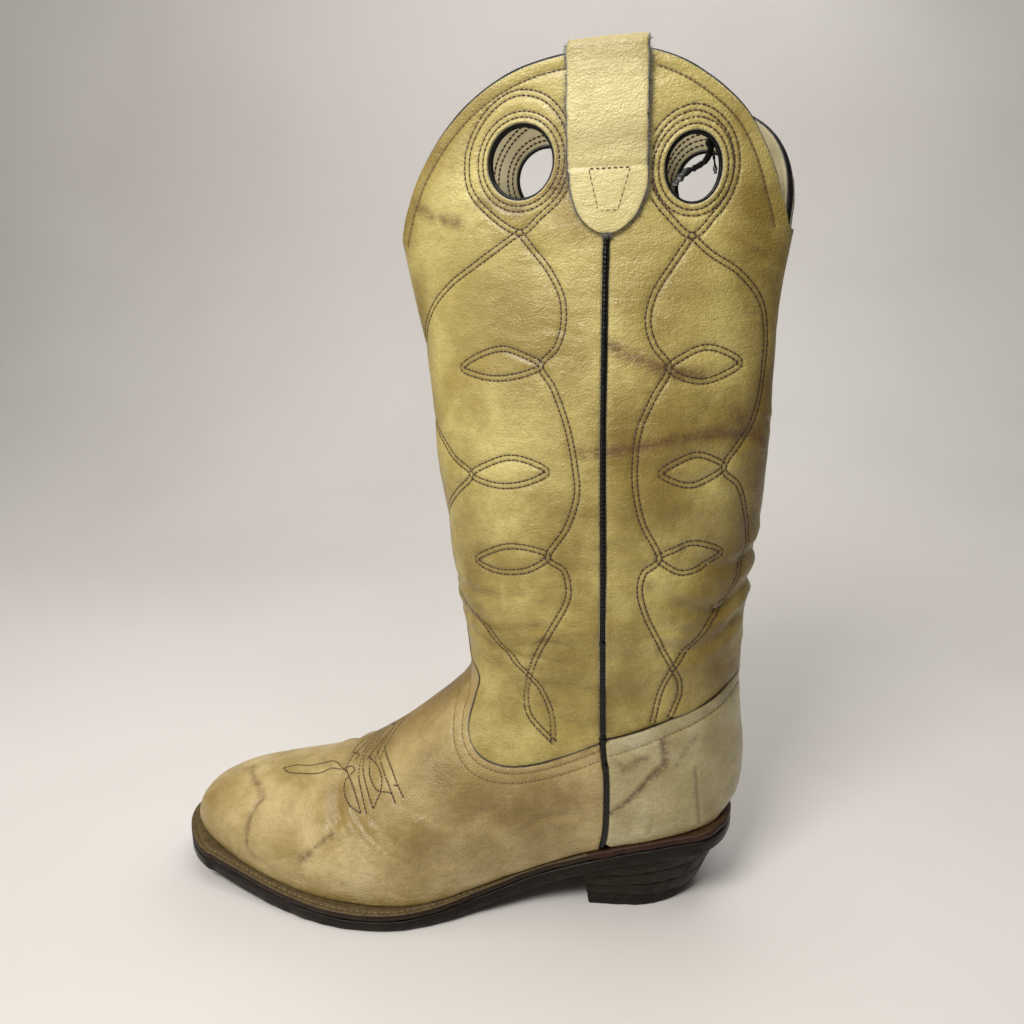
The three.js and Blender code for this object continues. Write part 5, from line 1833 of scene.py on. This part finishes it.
def heel_outline(level, inset):
    """Closed D outline at a level of the heel: outer side to the back, inner side back to the breast."""
    f = np.sin(np.linspace(0, math.pi / 2, HEEL_POINTS))
    breast = HEEL_BREAST_X - HEEL_SLANT * level + inset
    back = HEEL_BACK_X + HEEL_BACK_RISE * level - inset
    x = breast + (back - breast) * f
    bend = np.clip((f - 0.3) / 0.7, 0, 1)
    y = (HEEL_HALF_WIDTH + HEEL_FLARE * level - inset) * np.maximum(1 - bend ** 2.1, 2e-4) ** 0.5
    outer = np.column_stack([x, -y, heel_z(level, x)])
    inner = np.column_stack([x, y, heel_z(level, x)])
    return np.vstack([outer, inner[::-1]])


HEEL_CENTRE = np.array([104.0, 0.0])


def heel_slice(name, low, high, nodes, look, seed, rough_mm, groove=0.28):
    span = high - low
    levels = [(low + span * 0.02, 2.5), (low + span * 0.02, groove), (low + span * 0.16, 0.05),
              (low + span * 0.5, 0.0),
              (low + span * 0.84, 0.05), (high - span * 0.02, groove), (high - span * 0.02, 2.5)]
    rings = []
    for level, inset in levels:
        ring = heel_outline(level, inset)
        if inset < 1:
            wobble = wave_noise(ring, 7, seed) * rough_mm + wave_noise(ring, 22, seed + 1) * rough_mm
            outward = unit(ring[:, :2] - HEEL_CENTRE)
            ring[:, :2] -= outward * np.abs(wobble)[:, None]
        rings.append(ring)
    return stacked_piece(name, rings, 45, nodes, look)


def build_heel():
    heel_slice("cap_rubber", 0.0, CAP_LEVEL, ["heel_cap"], RUBBER_LOOK, 111, 0.3, 0.5)
    for k in range(3):
        low = CAP_LEVEL + (1 - CAP_LEVEL) * k / 3
        high = CAP_LEVEL + (1 - CAP_LEVEL) * (k + 1) / 3
        heel_slice(f"lift_leather_{k + 1}", low, high, [f"heel_lift_{k + 1}"], HEEL_LOOK,
                   121 + k, 0.22)


def dress_hidden_nodes():
    """Inner pieces keep their CAD shape and only take a material."""
    looks = {
        "toe_box": BOARD_LOOK, "heel_stiffener": BOARD_LOOK, "insole": BOARD_LOOK, "cork_filler": CORK_LOOK,
        "shank": STEEL_LOOK, "sock_liner": SHADE_DARKENED_LINING_LOOK, "vamp_lining": SHADE_DARKENED_LINING_LOOK,
        "heel_lining": SHADE_DARKENED_LINING_LOOK,
    }
    looks.update({f"heel_nail_{k}": STEEL_LOOK for k in range(1, 6)})
    for node, look in looks.items():
        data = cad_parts[node].data
        data.materials.clear()
        data.materials.append(look)


# ---------------------------------------------------------------- stage, light and camera
def build_stage():
    look = Look("studio_floor")
    tone = look.mix(look.ramp(look.noise(3, 3), 0.3, 0.7), (0.66, 0.63, 0.60), (0.70, 0.67, 0.64))
    floor_look = look.done(tone, 0.55)
    size, height, radius = 3.2, 2.4, 0.6
    back_y = 1.1
    profile = [(-2.2, 0.0), (back_y - radius, 0.0)]
    for k in range(1, 17):
        a = math.pi / 2 * k / 16
        profile.append((back_y - radius + radius * math.sin(a), radius - radius * math.cos(a)))
    profile.append((back_y, height))
    vertices = [(x, y, z) for x in (-size, size) for y, z in profile]
    n = len(profile)
    faces = [(k, n + k, n + k + 1, k + 1) for k in range(n - 1)]
    floor = new_object("studio_sweep", vertices, faces)
    floor.data.materials.append(floor_look)


def area_light(name, place, target, size, power, color=(1, 1, 1)):
    data = bpy.data.lights.new(name, "AREA")
    data.shape = "RECTANGLE"
    data.size, data.size_y = size
    data.energy = power
    data.color = color
    light = bpy.data.objects.new(name, data)
    light.location = place
    light.rotation_euler = (Vector(target) - Vector(place)).to_track_quat("-Z", "Y").to_euler()
    bpy.context.scene.collection.objects.link(light)


def build_lights():
    world = bpy.data.worlds.new("soft_room")
    world.use_nodes = True
    world.node_tree.nodes["Background"].inputs[0].default_value = (1.0, 0.97, 0.94, 1)
    world.node_tree.nodes["Background"].inputs[1].default_value = 0.115
    bpy.context.scene.world = world
    area_light("key_upper_left", (-0.32, -0.62, 0.98), (0.0, 0.0, 0.3), (0.4, 0.3), 10.5, (1.0, 0.98, 0.94))
    area_light("top_soft", (0.0, -0.15, 1.25), (0, 0, 0.2), (0.9, 0.7), 3.6, (1.0, 0.98, 0.95))
    area_light("fill_left", (-1.2, -0.7, 0.45), (0, 0, 0.15), (0.7, 0.7), 2.4, (1.0, 0.96, 0.92))
    area_light("back_fill", (0.3, 0.95, 1.1), (0, 0, 0.3), (1.0, 0.5), 2.4)
    area_light("wall_wash", (0.25, 0.25, 1.7), (0.15, 1.1, 0.55), (1.4, 0.4), 7.0)


CAMERA_PLACE = np.array([63.5, -370.4, 300.0])
CAMERA_YAW = math.radians(5.0)
CAMERA_PITCH = math.radians(14.6)
CAMERA_LENS = 27.04
SENSOR = 36.0


def build_camera():
    bpy.context.scene.view_settings.view_transform = "Standard"
    data = bpy.data.cameras.new("view_camera")
    data.lens = CAMERA_LENS
    data.sensor_width = SENSOR
    data.clip_start = 0.01
    camera = bpy.data.objects.new("view_camera", data)
    camera.location = (CAMERA_PLACE + SHIFT) * MM
    look_along = Vector((
        -math.sin(CAMERA_YAW) * math.cos(CAMERA_PITCH),
        math.cos(CAMERA_YAW) * math.cos(CAMERA_PITCH),
        -math.sin(CAMERA_PITCH),
    ))
    camera.rotation_euler = look_along.to_track_quat("-Z", "Y").to_euler()
    bpy.context.scene.collection.objects.link(camera)
    bpy.context.scene.camera = camera


# ---------------------------------------------------------------- build everything
build_upper()
build_piping()
build_top_binding()
build_hole_bindings()
build_torn_strip()
build_straps()
build_stitching()
build_welt()
build_rand()
build_outsole()
build_heel()
dress_hidden_nodes()
build_stage()
build_lights()
build_camera()
